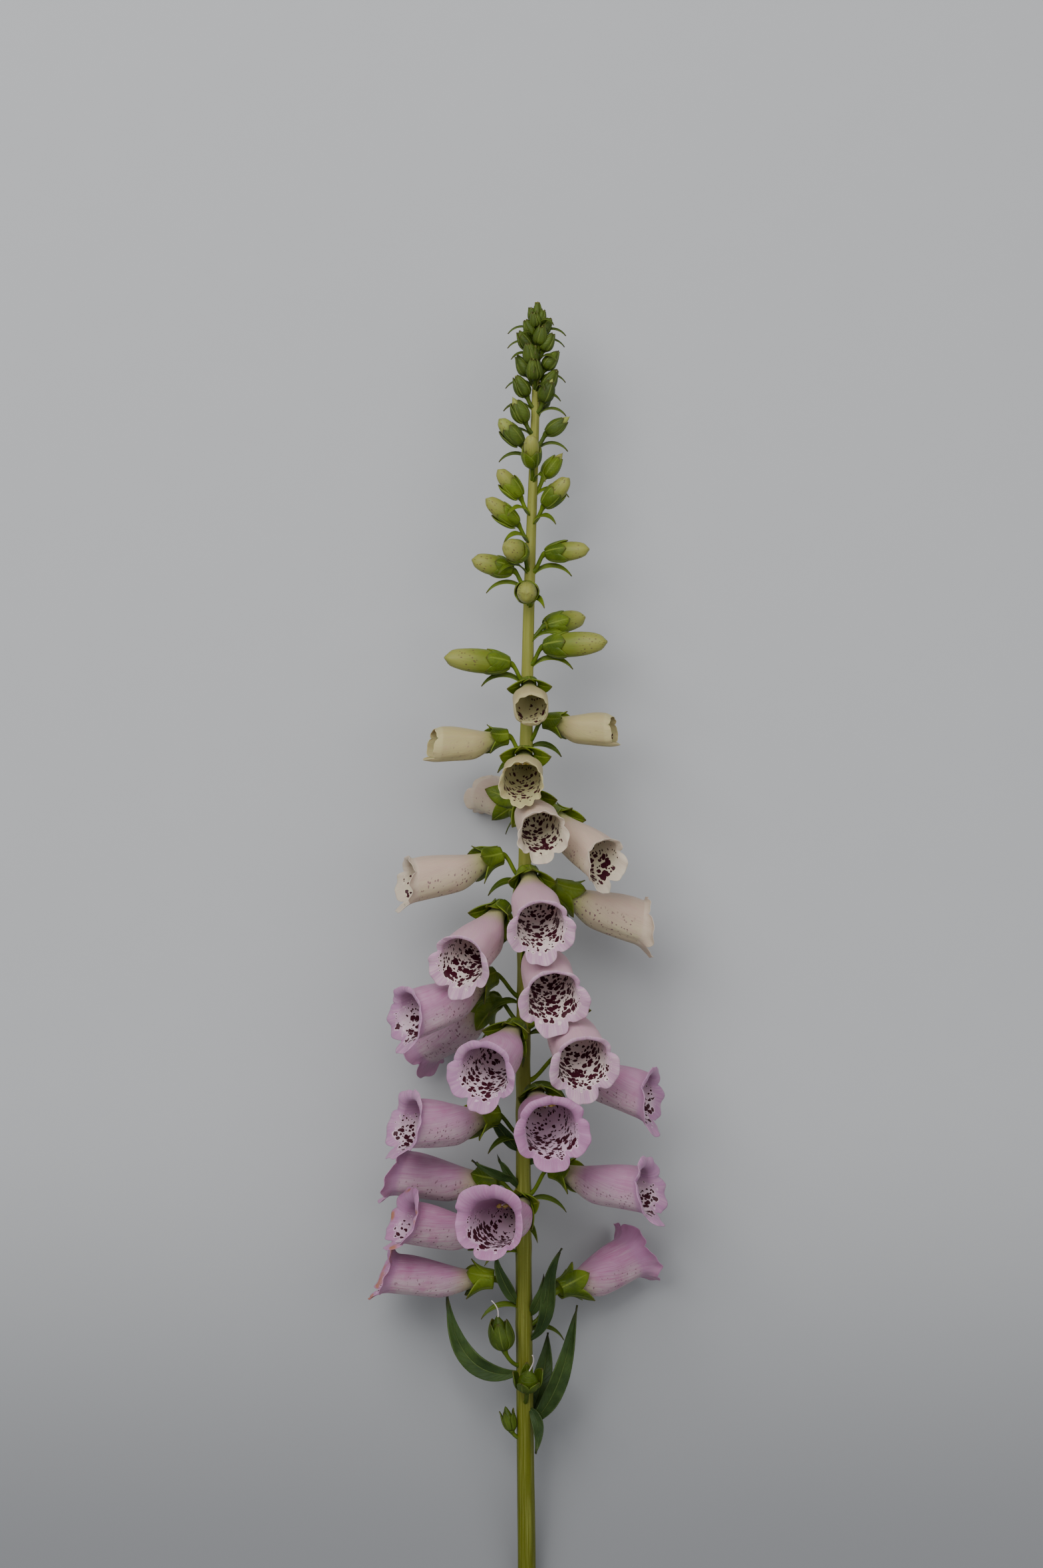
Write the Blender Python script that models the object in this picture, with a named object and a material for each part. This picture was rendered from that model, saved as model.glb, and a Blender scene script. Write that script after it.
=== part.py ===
"""Foxglove flower spike: one cut stem with its bells, buds, pods and leaves, lying on a flat surface.

The tip points to +Y, the bells that faced the viewer point to +Z, and +X is on their right. The spike rests on
its cut end and on the bells at its back, so its lowest point is z = 0. Sizes are in millimetres until placed.
"""

import math
from dataclasses import dataclass

import bmesh
import bpy
from mathutils import Matrix, Vector

MM = 0.001

# Driving dimensions, in mm.
SPIKE_LENGTH = 544.0  # cut end to growing tip, along the stem
CUT_RADIUS = 3.8
TIP_RADIUS = 0.9
BED_HEIGHT = 36.0  # how far the flowering part of the stem lies above its cut end
BED_START = 270.0  # distance from the cut end where the stem has levelled out
ORIGIN_X = -4.7  # from the stem's straight line to the middle of the bounding box
ORIGIN_Y = 272.0  # from the cut end to the middle of the bounding box
GAP = 0.35  # air between neighbouring nodes

# Proportions of one bell, as shares of its length or of its half width.
PETAL_WALL = 0.8
NECK = 0.28
BELL_STEPS = 12
CALYX_STEPS = 10
CALYX_FLOOR = 1.3
BELL_LIFT = 1.8
PEDICEL_RADIUS = 1.0

GREEN = (0.09, 0.19, 0.03, 1.0)
STEM_GREEN = (0.24, 0.29, 0.06, 1.0)
CREAM = (0.62, 0.58, 0.38, 1.0)
PINK = (0.55, 0.30, 0.47, 1.0)


@dataclass(frozen=True)
class Flower:
    """One bell with its calyx and pedicel. Angles are in degrees, lengths in mm.

    height, side, reach: the calyx base, by its distance from the cut end, its angle round the stem (0 is +Z,
    90 is +X) and its distance from the stem's line. rise: how far that lies above the pedicel's root. face,
    droop: which way the bell points. length, width: of the tube to its throat, and its half width. flare: how far
    the lobes have opened. lip: length of the upper lip.
    """

    name: str
    height: float
    side: float
    reach: float
    rise: float
    face: float
    droop: float
    length: float
    width: float
    flare: float
    lip: float = 7.0


FLOWERS = [
    Flower("01", 360.5, -5, 8.5, 8, -2, 22, 26, 7.2, 0.25, 4.5),
    Flower("02", 341.0, -165, 8.5, 6, -151, -6, 23.6, 7.0, 0.49, 5.0),
    Flower("03", 344.3, 5, 9.5, 9, 11, 28, 29, 7.8, 0.56, 5.0),
    Flower("04", 338.0, 70, 10.0, 8, 44.5, 33.5, 33, 8.0, 0.63, 6.0),
    Flower("05", 319.4, -75, 9.5, 9, -74.5, 15, 36, 8.2, 0.77, 6.5),
    Flower("06", 306.5, 88, 11.5, 8, 99, 22, 36, 8.6, 1.05, 7.0),
    Flower("07", 312.4, 5, 12.0, 9, 9, 31, 36, 9.0, 1.12, 6.0),
    Flower("08", 298.7, -52, 11.0, 10, -30, 32, 36, 9.0, 1.12, 6.5),
    Flower("09", 270.8, -72, 12.5, 9, -62, 22, 38, 9.2, 1.19, 7.0),
    Flower("10", 260.6, -110, 11.5, 9, -128, 26, 37, 9.0, 1.26, 7.0),
    Flower("11", 288.4, 25, 11.5, 9, 12, 38, 36, 9.4, 1.19, 6.5),
    Flower("12", 250.6, -15, 11.0, 9, -22, 25, 35, 9.4, 1.40, 7.5),
    Flower("13", 261.4, 58, 16.5, 12, 18, 37, 36, 9.6, 1.33, 7.0),
    Flower("14", 237.6, 82, 15.0, 10, 80, 23, 36, 8.8, 1.26, 7.5),
    Flower("15", 213.9, -70, 11.0, 8, -64, 3, 36, 9.4, 1.40, 8.0),
    Flower("16", 223.6, 20, 12.5, 9, 11, 19, 34, 9.8, 1.40, 7.5),
    Flower("17", 192.0, 72, 11.5, 11, 74, 10, 38, 8.6, 1.33, 9.0),
    Flower("18", 186.0, -104, 10.0, 6, -105, -4.5, 37, 8.8, 1.40, 10.5),
    Flower("19", 178.0, 5, 10.0, 8, -20, 7, 36, 9.6, 1.40, 9.0),
    Flower("20", 165.5, -80, 9.0, 6, -74, -8, 37, 8.2, 1.33, 9.0),
    Flower("21", 145.8, -98, 12.0, 9, -92, -4, 39, 8.0, 1.26, 9.0),
    Flower("22", 141.0, 99, 14.0, 14, 116.8, -20, 31, 8.6, 1.40, 9.0),
]


@dataclass(frozen=True)
class Bud:
    """A closed bud on its pedicel, placed as a Flower is. length and width are of the calyx and bud together."""

    name: str
    height: float
    side: float
    reach: float
    rise: float
    face: float
    droop: float
    length: float
    width: float


BUDS = [
    Bud("1", 412.4, 95, 6.5, 5, 112, -12, 18.5, 4.6),
    Bud("2", 403.8, 60, 7.0, 7, 72, -4, 27.5, 5.4),
    Bud("3", 396.9, -65, 7.5, 7, -76, -5, 28.0, 5.3),
    Bud("4", 426.0, -4, 6.5, 5, -4, 4, 13.5, 4.8),
    Bud("5", 434.8, -70, 7.0, 7, -78, -14, 18.0, 4.5),
]

# Flowers that are just opening: their petals still stand in the calyx as one piece with it.
OPENING = [
    Bud("1", 389.0, 5, 7.0, 6, 3, 30, 24.0, 6.9),
    Bud("2", 374.0, 62, 7.5, 8, 76, 8, 31.0, 6.5),
    Bud("3", 367.5, -65, 8.0, 8, -76, 6, 34.0, 6.9),
]

# Buds that the stem still carries as one piece with itself: they have no cream tip free of the calyx yet.
STEM_BUDS = [
    Bud("6", 441.6, 66, 6.5, 7, 72, -5, 19.0, 4.2),
    Bud("7", 441.0, -25, 6.5, 6, -30, -12, 14.5, 4.9),
    Bud("8", 453.5, -65, 6.0, 6, -66, -36, 17.5, 3.9),
    Bud("9", 461.0, 60, 5.5, 6, 62, -44, 16.0, 4.0),
    Bud("10", 464.5, -62, 5.5, 6, -64, -48, 15.0, 3.7),
    Bud("11", 472.8, 120, 5.0, 6, 105, -52, 13.5, 3.5),
    Bud("12", 477.0, -5, 5.0, 5, -4, -52, 15.0, 3.9),
    Bud("13", 486.0, -72, 5.5, 5, -74, -48, 14.0, 3.5),
    Bud("14", 490.3, 70, 5.0, 5, 72, -34, 12.5, 3.2),
    Bud("15", 495.0, -60, 4.5, 4, -56, -58, 12.0, 3.4),
    Bud("16", 503.3, 50, 5.0, 4, 48, -64, 10.0, 3.3),
    Bud("17", 505.5, -62, 5.0, 4, -64, -60, 9.5, 3.0),
]

# The growing tip: small green buds in a spiral, each smaller and closer to the stem than the last.
TIP_BUDS = 14
TIP_BUD_START = 509.0
TIP_BUD_PITCH = 2.35
TIP_BUD_TURN = 137.5
TIP_BUD_LENGTH = (9.0, 4.5)
TIP_BUD_WIDTH = (3.1, 1.5)


@dataclass(frozen=True)
class Leaf:
    """A stem leaf: its root on the stem, its tip from the stem's line (x, z), and its greatest half width."""

    name: str
    height: float
    side: float
    tip_height: float
    tip_x: float
    tip_z: float
    half_width: float
    bow: float


LEAVES = [
    Leaf("left", 107.0, -88, 140.4, -31.5, 4.0, 3.4, -19.0),
    Leaf("right_low", 86.0, 70, 135.6, 21.3, 12.0, 4.4, 4.3),
    Leaf("right_high", 121.0, 75, 159.6, 15.4, 13.0, 3.0, 0.5),
    Leaf("right_back", 88.0, 128, 122.0, 9.5, -8.0, 3.8, 5.0),
]

PODS = [
    Bud("left", 117.0, -58, 9.5, 7, -40, -72, 16.0, 5.4),
    Bud("front", 101.0, 8, 8.0, 6, 4, -48, 12.0, 5.0),
]


def smooth(x):
    """Smoothstep of x, held to 0 and 1 outside that range."""
    x = max(0.0, min(1.0, x))
    return x * x * (3 - 2 * x)


def stem_point(height):
    """The stem's line at this distance from the cut end, in mm and in the object's frame."""
    lift = BED_HEIGHT * math.sin(math.pi / 2 * min(height / BED_START, 1.0))
    lean = 4.0 * smooth((height - 380.0) / 170.0) - 1.6 * math.sin(math.pi * height / 400.0) * (height < 400)
    return Vector((lean - ORIGIN_X, height - ORIGIN_Y, CUT_RADIUS + lift))


def stem_radius(height):
    """The stem's radius there: thick at the cut, slim among the buds."""
    share = height / SPIKE_LENGTH
    return TIP_RADIUS + (CUT_RADIUS - TIP_RADIUS) * (1 - share) ** 0.62 * (1 - 0.12 * share)


def outward(side):
    """Unit vector square to the stem at this angle round it."""
    return Vector((math.sin(math.radians(side)), 0.0, math.cos(math.radians(side))))


def pointing(face, droop):
    """Unit vector of something that faces this way round the stem and hangs this far towards the cut end."""
    low = math.radians(droop)
    return outward(face) * math.cos(low) - Vector((0.0, math.sin(low), 0.0))


def base_of(piece):
    """Where a flower's or bud's calyx starts, in mm."""
    return stem_point(piece.height) + outward(piece.side) * piece.reach


def local_frame(piece):
    """Matrix from the piece's own axes (z along it, y to its upper side) to the object's frame, in mm."""
    along = pointing(piece.face, piece.droop)
    up = Vector((0.0, 1.0, 0.0))
    back = (up - along * along.dot(up)).normalized()
    across = back.cross(along)
    turn = Matrix((across, back, along)).transposed().to_4x4()
    return Matrix.Translation(base_of(piece)) @ turn


def pedicel_point(piece, share, sink):
    """The pedicel's centre and direction, from 0 at the stem's skin to 1 at the calyx. sink moves its root inwards."""
    root_height = piece.height - piece.rise
    away = outward(piece.side)
    start = stem_point(root_height) + away * (stem_radius(root_height) + sink)
    end = base_of(piece)
    pull = (end - start).length
    leave, arrive = away * pull * 0.9, pointing(piece.face, piece.droop) * pull * 0.9
    s, s2, s3 = share, share**2, share**3
    place = start * (2 * s3 - 3 * s2 + 1) + leave * (s3 - 2 * s2 + s) + end * (3 * s2 - 2 * s3) + arrive * (s3 - s2)
    way = start * (6 * s2 - 6 * s) + leave * (3 * s2 - 4 * s + 1) + end * (6 * s - 6 * s2) + arrive * (3 * s2 - 2 * s)
    return place, way.normalized()


def stalk_point(piece, share, sink, radius, angle):
    """A point of the pedicel's skin, turned so that it meets the calyx's rows without a twist."""
    centre, way = pedicel_point(piece, share, sink)
    across = local_frame(piece).to_3x3().col[0]
    across = (across - way * across.dot(way)).normalized()
    back = way.cross(across)
    return centre + (across * math.sin(angle) - back * math.cos(angle)) * radius


def spun(profile, steps):
    """A bmesh of the profile, a list of (radius, z), turned once round z. Its ends lie on the axis, so it is closed."""
    mesh = bmesh.new()
    corners = [mesh.verts.new((radius, 0.0, z)) for radius, z in profile]
    edges = [mesh.edges.new(pair) for pair in zip(corners, corners[1:])]
    bmesh.ops.spin(
        mesh, geom=corners + edges, cent=(0, 0, 0), axis=(0, 0, 1), angle=math.tau, steps=steps, use_merge=True
    )
    bmesh.ops.remove_doubles(mesh, verts=mesh.verts, dist=1e-5)
    return mesh


def add(name, mesh, material):
    """Makes the object of a bmesh that is in mm and in place, with its faces pointing outwards."""
    bmesh.ops.recalc_face_normals(mesh, faces=mesh.faces)
    if mesh.calc_volume(signed=True) < 0:
        bmesh.ops.reverse_faces(mesh, faces=mesh.faces)
    bmesh.ops.scale(mesh, vec=(MM, MM, MM), verts=mesh.verts)
    data = bpy.data.meshes.new(name)
    mesh.to_mesh(data)
    mesh.free()
    data.shade_smooth()
    data.materials.append(material)
    made = bpy.data.objects.new(name, data)
    bpy.context.scene.collection.objects.link(made)
    return made


def paint(name, colour, roughness):
    """A plain Principled material."""
    made = bpy.data.materials.new(name)
    made.use_nodes = True
    shader = made.node_tree.nodes["Principled BSDF"]
    shader.inputs["Base Color"].default_value = colour
    shader.inputs["Roughness"].default_value = roughness
    return made


def lobe_length(angle, flower):
    """How far the limb reaches past the throat at this angle from the lower side, in mm."""
    turn = abs(math.degrees(angle))
    lobes = ((0.0, 34.0, 10.5), (72.0, 38.0, 8.5), (145.0, 36.0, flower.lip))
    centre, half, reach = min(lobes, key=lambda lobe: abs(turn - lobe[0]) / lobe[1])
    off = min(1.0, abs(turn - centre) / half)
    size = flower.width / 9.5
    return reach * size * (0.62 + 0.38 * math.cos(math.pi / 2 * off) ** 0.7)


def bell_point(flower, along, angle):
    """A point of the bell's outer surface, in its own axes. along is 0..1 up the tube and 1..2 over the limb."""
    t = min(along, 1.0)
    side = NECK + (1 - NECK) * smooth((t - 0.06) / 0.62)
    lower = NECK + (1 - NECK) * smooth((t - 0.04) / 0.5) + 0.08 * math.sin(math.pi * t)
    upper = NECK + 0.64 * smooth((t - 0.1) / 0.9)
    down, across = math.cos(angle), math.sin(angle)
    half_y = lower if down > 0 else upper
    x, y = flower.width * side * across, -flower.width * half_y * down
    z = t * flower.length * (1 + 0.05 * t * down)
    if along > 1.0:
        length = lobe_length(angle, flower)
        bend = math.radians(38 + 60 * ((1 - down) / 2) ** 0.8) * flower.flare
        part = (along - 1.0) * bend
        spread = length / bend * (1 - math.cos(part))
        x += spread * across
        y -= spread * down
        z += length / bend * math.sin(part)
    return Vector((x, y, z))


def bell(flower, material):
    """The corolla: an open, five-lobed tube with a real wall, closed at its neck."""
    rows = [0.0, 0.14, 0.3, 0.48, 0.72, 1.0, 1.5, 2.0]
    floor = 0.1
    outer = [(2.0, row) for row in rows]
    inner = [(1.0, row) for row in reversed(rows[2:])] + [(1.0, floor)]
    mesh = spun([(0.0, 0.0), *outer, *inner, (0.0, floor)], BELL_STEPS)
    place = local_frame(flower) @ Matrix.Translation((0.0, 0.0, BELL_LIFT))
    nudge = 0.01
    for vert in mesh.verts:
        radius, row = math.hypot(vert.co.x, vert.co.y), vert.co.z
        angle = math.atan2(vert.co.x, -vert.co.y)
        point = bell_point(flower, row, angle)
        if radius < 0.5:
            point = Vector((0.0, 0.0, point.z))
        elif radius < 1.5:
            low = 1.0 - nudge if row == 1.0 else max(0.0, row - nudge)
            high = min(2.0, row + nudge)
            length_way = bell_point(flower, high, angle) - bell_point(flower, low, angle)
            round_way = bell_point(flower, row, angle + nudge) - bell_point(flower, row, angle - nudge)
            point += round_way.cross(length_way).normalized() * PETAL_WALL
        vert.co = place @ point
    return add(f"corolla_{flower.name}", mesh, material)


def calyx_point(flower, row, angle, wall):
    """A point of the calyx, in the bell's own axes. row is 0 at its floor and 1 at its sepals' points."""
    point = abs(math.cos(2.5 * (angle - math.pi)))
    length = 4.5 + 7.0 * point
    z = CALYX_FLOOR + (length - CALYX_FLOOR) * row
    skin = bell_point(flower, max(0.0, z - BELL_LIFT) / flower.length, angle)
    radius = math.hypot(skin.x, skin.y)
    reach = radius * 1.06 + PETAL_WALL + GAP + 0.8 * row * row + wall
    return Vector((skin.x / radius * reach, skin.y / radius * reach, z))


def calyx(flower, material):
    """The pedicel and the five-pointed calyx cup that holds the bell."""
    stalk = [(2.0, -1.0), (2.0, -0.66), (2.0, -0.33), (2.0, 0.0)]
    rows = [0.35, 0.7, 1.0]
    outer = [(2.0, row) for row in (0.02, *rows)]
    inner = [(1.0, row) for row in reversed(rows)] + [(1.0, 0.01)]
    mesh = spun([(0.0, -1.0), *stalk, *outer, *inner, (0.0, 0.01)], CALYX_STEPS)
    place = local_frame(flower)
    wall = 0.8
    for vert in mesh.verts:
        radius, row = math.hypot(vert.co.x, vert.co.y), vert.co.z
        angle = math.atan2(vert.co.x, -vert.co.y)
        if row < 0.001:
            thick = PEDICEL_RADIUS * (1 + 0.9 * smooth(1 + 4 * row)) if radius > 0.5 else 0.0
            vert.co = stalk_point(flower, 1 + row, GAP, thick, angle)
            continue
        point = calyx_point(flower, row, angle, wall if radius > 1.5 else 0.0)
        if radius < 0.5:
            point = Vector((0.0, 0.0, point.z))
        vert.co = place @ point
    return add(f"calyx_{flower.name}", mesh, material)


# Outlines from the calyx's foot to the petals' tip: radius and z, as shares of the piece's width and length.
BUD_OUTLINE = [(0.62, 0.06), (0.98, 0.22), (1.0, 0.42), (0.9, 0.5), (0.95, 0.72), (0.66, 0.92), (0.0, 1.0)]
POD_OUTLINE = [(0.8, 0.05), (1.0, 0.25), (0.96, 0.5), (0.6, 0.7), (0.16, 0.78), (0.12, 0.95), (0.0, 1.0)]
OPENING_OUTLINE = [
    *((0.55, 0.05), (0.86, 0.18), (0.9, 0.3), (0.76, 0.34), (0.96, 0.62), (1.0, 0.85), (0.78, 1.0)),
    *((0.68, 0.97), (0.82, 0.8), (0.6, 0.55), (0.0, 0.5)),
]


def bud_mesh(bud, sink, sides, outline):
    """Pedicel, calyx and petals of one bud as one closed skin. The rows past 0 count through the outline."""
    stalk = [(2.0, -1.0), (2.0, -0.5), (2.0, 0.0)]
    skin = [(2.0 if radius else 0.0, 1.0 + number) for number, (radius, _) in enumerate(outline)]
    mesh = spun([(0.0, -1.0), *stalk, *skin], sides)
    place = local_frame(bud)
    for vert in mesh.verts:
        off_axis, row = math.hypot(vert.co.x, vert.co.y) > 0.5, vert.co.z
        angle = math.atan2(vert.co.x, -vert.co.y)
        if row < 0.001:
            thick = PEDICEL_RADIUS * min(1.0, bud.width / 4.0) if off_axis else 0.0
            vert.co = stalk_point(bud, 1 + row, sink, thick, angle)
            continue
        radius, z = outline[round(row) - 1]
        reach = bud.width * radius
        vert.co = place @ Vector((reach * math.sin(angle), -reach * math.cos(angle), z * bud.length))
    return mesh


def tip_bud(number):
    """One of the small buds of the growing tip."""
    share = number / (TIP_BUDS - 1)
    height = TIP_BUD_START + number * TIP_BUD_PITCH * (1 - 0.12 * share)
    length = TIP_BUD_LENGTH[0] + (TIP_BUD_LENGTH[1] - TIP_BUD_LENGTH[0]) * share
    width = TIP_BUD_WIDTH[0] + (TIP_BUD_WIDTH[1] - TIP_BUD_WIDTH[0]) * share
    side = number * TIP_BUD_TURN
    return Bud(f"tip_{number}", height, side, 2.6 - 1.4 * share, 1.0, side, -66 - 12 * share, length, width)


def stem(material):
    """The stem from its cut end to its tip, with the small buds that are one piece with it."""
    rings = 30
    sides = 10
    mesh = bmesh.new()
    made = bmesh.ops.create_circle(mesh, cap_ends=True, segments=sides, radius=CUT_RADIUS)
    bmesh.ops.rotate(mesh, verts=made["verts"], matrix=Matrix.Rotation(-math.pi / 2, 3, "X"))
    bmesh.ops.translate(mesh, vec=stem_point(0.0), verts=made["verts"])
    bottom = list(mesh.faces)
    front = bottom
    for ring in range(1, rings + 1):
        height = SPIKE_LENGTH * ring / rings
        before = SPIKE_LENGTH * (ring - 1) / rings
        grown = bmesh.ops.extrude_face_region(mesh, geom=front)
        verts = [item for item in grown["geom"] if isinstance(item, bmesh.types.BMVert)]
        if ring > 1:
            bmesh.ops.delete(mesh, geom=front, context="FACES_ONLY")
        front = [item for item in grown["geom"] if isinstance(item, bmesh.types.BMFace)]
        shrink = stem_radius(height) / stem_radius(before)
        old, new = stem_point(before), stem_point(height)
        for vert in verts:
            vert.co = new + (vert.co - old) * shrink
    made = add("stem", mesh, material)
    carried = [tip_bud(number) for number in range(TIP_BUDS)] + STEM_BUDS
    cutters = bpy.data.collections.new("stem_buds")
    bpy.context.scene.collection.children.link(cutters)
    for bud in carried:
        sink = -0.6 * stem_radius(bud.height - bud.rise)
        piece = add(f"bud_guide_{bud.name}", bud_mesh(bud, sink, 6, BUD_OUTLINE), material)
        bpy.context.scene.collection.objects.unlink(piece)
        cutters.objects.link(piece)
        piece.hide_render = True
        piece.display_type = "WIRE"
        joined = made.modifiers.new(f"join_{bud.name}", "BOOLEAN")
        joined.operation = "UNION"
        joined.solver = "EXACT"
        joined.object = piece
    return made


def leaf(shape, material):
    """A lance-shaped leaf with its edges a little raised, as one thin closed blade."""
    along, across = 8, 2
    mesh = bmesh.new()
    bmesh.ops.create_grid(mesh, x_segments=across, y_segments=along, size=0.5)
    away = outward(shape.side)
    start = stem_point(shape.height) + away * (stem_radius(shape.height) + GAP + 1.4)
    end = stem_point(shape.tip_height) + Vector((shape.tip_x, 0.0, shape.tip_z))
    middle = (start + end) / 2 + Vector((shape.bow, 0.0, abs(shape.bow) * 0.4))
    for vert in mesh.verts:
        share, off = vert.co.y + 0.5, vert.co.x * 2
        place = start * (1 - share) ** 2 + middle * 2 * share * (1 - share) + end * share**2
        way = ((middle - start) * (1 - share) + (end - middle) * share).normalized()
        face_up = Vector((0.0, 0.0, 1.0))
        sideways = way.cross(face_up).normalized()
        half = shape.half_width * math.sin(math.pi * (0.03 + 0.94 * share**0.85)) ** 0.8 + 0.25
        lift = 0.22 * half * abs(off)
        vert.co = place + sideways * off * half + sideways.cross(way) * lift
    bmesh.ops.recalc_face_normals(mesh, faces=mesh.faces)
    bmesh.ops.solidify(mesh, geom=mesh.faces, thickness=0.7)
    return add(f"leaf_{shape.name}", mesh, material)


def main():
    for old in list(bpy.data.objects):
        bpy.data.objects.remove(old)
    green = paint("leaf_green", GREEN, 0.5)
    stalk = paint("stem_green", STEM_GREEN, 0.5)
    cream = paint("cream_petal", CREAM, 0.6)
    pink = paint("pink_petal", PINK, 0.6)
    stem(stalk)
    for flower in FLOWERS:
        bell(flower, cream if flower.width < 8.0 else pink)
        calyx(flower, green)
    for bud in BUDS:
        add(f"bud_{bud.name}", bud_mesh(bud, GAP, 8, BUD_OUTLINE), green)
    for flower in OPENING:
        add(f"opening_flower_{flower.name}", bud_mesh(flower, GAP, 10, OPENING_OUTLINE), cream)
    for pod in PODS:
        add(f"seed_pod_{pod.name}", bud_mesh(pod, GAP, 8, POD_OUTLINE), green)
    for shape in LEAVES:
        leaf(shape, green)


main()
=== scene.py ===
"""The foxglove spike in full: petals, sepals, stalks, leaves and spots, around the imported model."""

import logging
import math
from dataclasses import dataclass, replace
from enum import Enum
from typing import Callable, Sequence

import bmesh
import bpy
from bmesh.types import BMesh, BMVert
from mathutils import Matrix, Vector, noise


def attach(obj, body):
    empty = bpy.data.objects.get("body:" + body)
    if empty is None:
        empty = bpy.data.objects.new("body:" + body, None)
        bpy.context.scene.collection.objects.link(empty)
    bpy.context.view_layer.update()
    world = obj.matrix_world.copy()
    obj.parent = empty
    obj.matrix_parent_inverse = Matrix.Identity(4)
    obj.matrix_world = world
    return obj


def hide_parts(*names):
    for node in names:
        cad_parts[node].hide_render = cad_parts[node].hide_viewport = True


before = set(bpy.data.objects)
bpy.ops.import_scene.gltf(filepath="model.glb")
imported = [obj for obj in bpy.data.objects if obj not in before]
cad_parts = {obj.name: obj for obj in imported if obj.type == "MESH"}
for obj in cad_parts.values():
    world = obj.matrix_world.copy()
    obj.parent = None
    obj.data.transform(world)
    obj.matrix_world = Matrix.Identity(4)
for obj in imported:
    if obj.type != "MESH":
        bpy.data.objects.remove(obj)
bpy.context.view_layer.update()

log = logging.getLogger("foxglove")

MM = 0.001  # the frame is in metres; every size below is in mm

# The stem: its length, its radius at the cut and at the tip, and its rise, which is full from BED_START on.
SPIKE_LENGTH = 544.0
CUT_RADIUS = 3.8
TIP_RADIUS = 0.9
BED_HEIGHT = 36.0
BED_START = 270.0
ORIGIN_X = -4.7
ORIGIN_Y = 272.0
FLOOR_EASE = 0.6  # points lower than this are eased towards the floor

# The flowers: a bell's neck as a share of its width, its start above the calyx's foot, and its walls.
NECK = 0.28
BELL_LIFT = 1.8
PETAL_WALL = 0.55
EDGE_WALL = 0.22
SKIN_GAP = 0.12
PEDICEL_RADIUS = 0.85
GREEN_TIP = 478.0  # buds from here up are wholly green

UP = Vector((0.0, 1.0, 0.0))  # towards the tip of the spike
AXIS_RING = 0.5  # a spun point nearer the axis than this belongs to a closing end

Socket = bpy.types.NodeSocket
Colour = tuple[float, float, float]
SkinAt = Callable[[float, float], Vector]


# ---------------------------------------------------------------- where things are


def smooth(x: float) -> float:
    """Smoothstep of x, held to 0 and 1 outside that range."""
    x = max(0.0, min(1.0, x))
    return x * x * (3 - 2 * x)


def between(low: float, high: float, x: float) -> float:
    """Smoothstep of x from 0 at low to 1 at high."""
    return smooth((x - low) / (high - low))


def ripple(x: float, y: float, z: float) -> float:
    """Smooth noise of about -1 to 1."""
    return noise.noise(Vector((x, y, z))) * 1.6


def stem_point(height: float) -> Vector:
    """The stem's line at this distance from the cut end, in mm.

    Args:
        height: distance along the stem.

    Returns:
        The point, in mm.
    """
    lift = BED_HEIGHT * math.sin(math.pi / 2 * min(height / BED_START, 1.0))
    lean = 4.0 * smooth((height - 380.0) / 170.0) - 1.6 * math.sin(math.pi * height / 400.0) * (height < 400)
    return Vector((lean - ORIGIN_X, height - ORIGIN_Y, CUT_RADIUS + lift))


def stem_radius(height: float) -> float:
    """The stem's radius there."""
    share = min(height, SPIKE_LENGTH) / SPIKE_LENGTH
    return TIP_RADIUS + (CUT_RADIUS - TIP_RADIUS) * (1 - share) ** 0.62 * (1 - 0.12 * share)


def outward(side: float) -> Vector:
    """Unit vector square to the stem at this angle round it. 0 is up and 90 is to the right."""
    return Vector((math.sin(math.radians(side)), 0.0, math.cos(math.radians(side))))


def pointing(face: float, droop: float) -> Vector:
    """Unit vector of something that faces this way and hangs this far towards the cut end."""
    low = math.radians(droop)
    return outward(face) * math.cos(low) - Vector((0.0, math.sin(low), 0.0))


@dataclass(frozen=True)
class Perch:
    """Where a flower or bud sits on the spike, in mm and degrees.

    height, side and reach place its calyx, and rise is how far that is above the pedicel's root. face and
    droop are the way it points.
    """

    height: float
    side: float
    reach: float
    rise: float
    face: float
    droop: float

    def base(self) -> Vector:
        """The calyx's foot."""
        return stem_point(self.height) + outward(self.side) * self.reach

    def place(self) -> Matrix:
        """From the flower's own axes, z along it and y to its upper side, to the spike's.

        Returns:
            The transform.
        """
        along = pointing(self.face, self.droop)
        back = (UP - along * along.dot(UP)).normalized()
        turn = Matrix((back.cross(along), back, along)).transposed().to_4x4()
        return Matrix.Translation(self.base()) @ turn

    def pedicel(self, steps: int) -> list[Vector]:
        """The pedicel's centre line, from inside the stem to the calyx.

        Args:
            steps: how many stretches it has.

        Returns:
            Its points.
        """
        root = self.height - self.rise
        away, along = outward(self.side), pointing(self.face, self.droop)
        start = stem_point(root) + away * stem_radius(root) * 0.55
        end = self.base() + along * 0.4
        pull = (end - start).length * 0.9
        line = []
        for step in range(steps + 1):
            s = step / steps
            s2, s3 = s**2, s**3
            point = start * (2 * s3 - 3 * s2 + 1) + end * (3 * s2 - 2 * s3)
            line.append(point + away * pull * (s3 - 2 * s2 + s) + along * pull * (s3 - s2))
        return line


def spine_of(corners: Sequence[Vector], share: float) -> tuple[Vector, Vector]:
    """The point of a curve with four control points at this share of it, and the way it runs there.

    Args:
        corners: the four control points.
        share: 0 at the first and 1 at the last.

    Returns:
        The point and a unit vector.
    """
    root, one, two, end = corners
    s, r = share, 1 - share
    point = root * r**3 + one * 3 * s * r**2 + two * 3 * s**2 * r + end * s**3
    way = (one - root) * r**2 + (two - one) * 2 * s * r + (end - two) * s**2
    return point, way.normalized()


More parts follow.
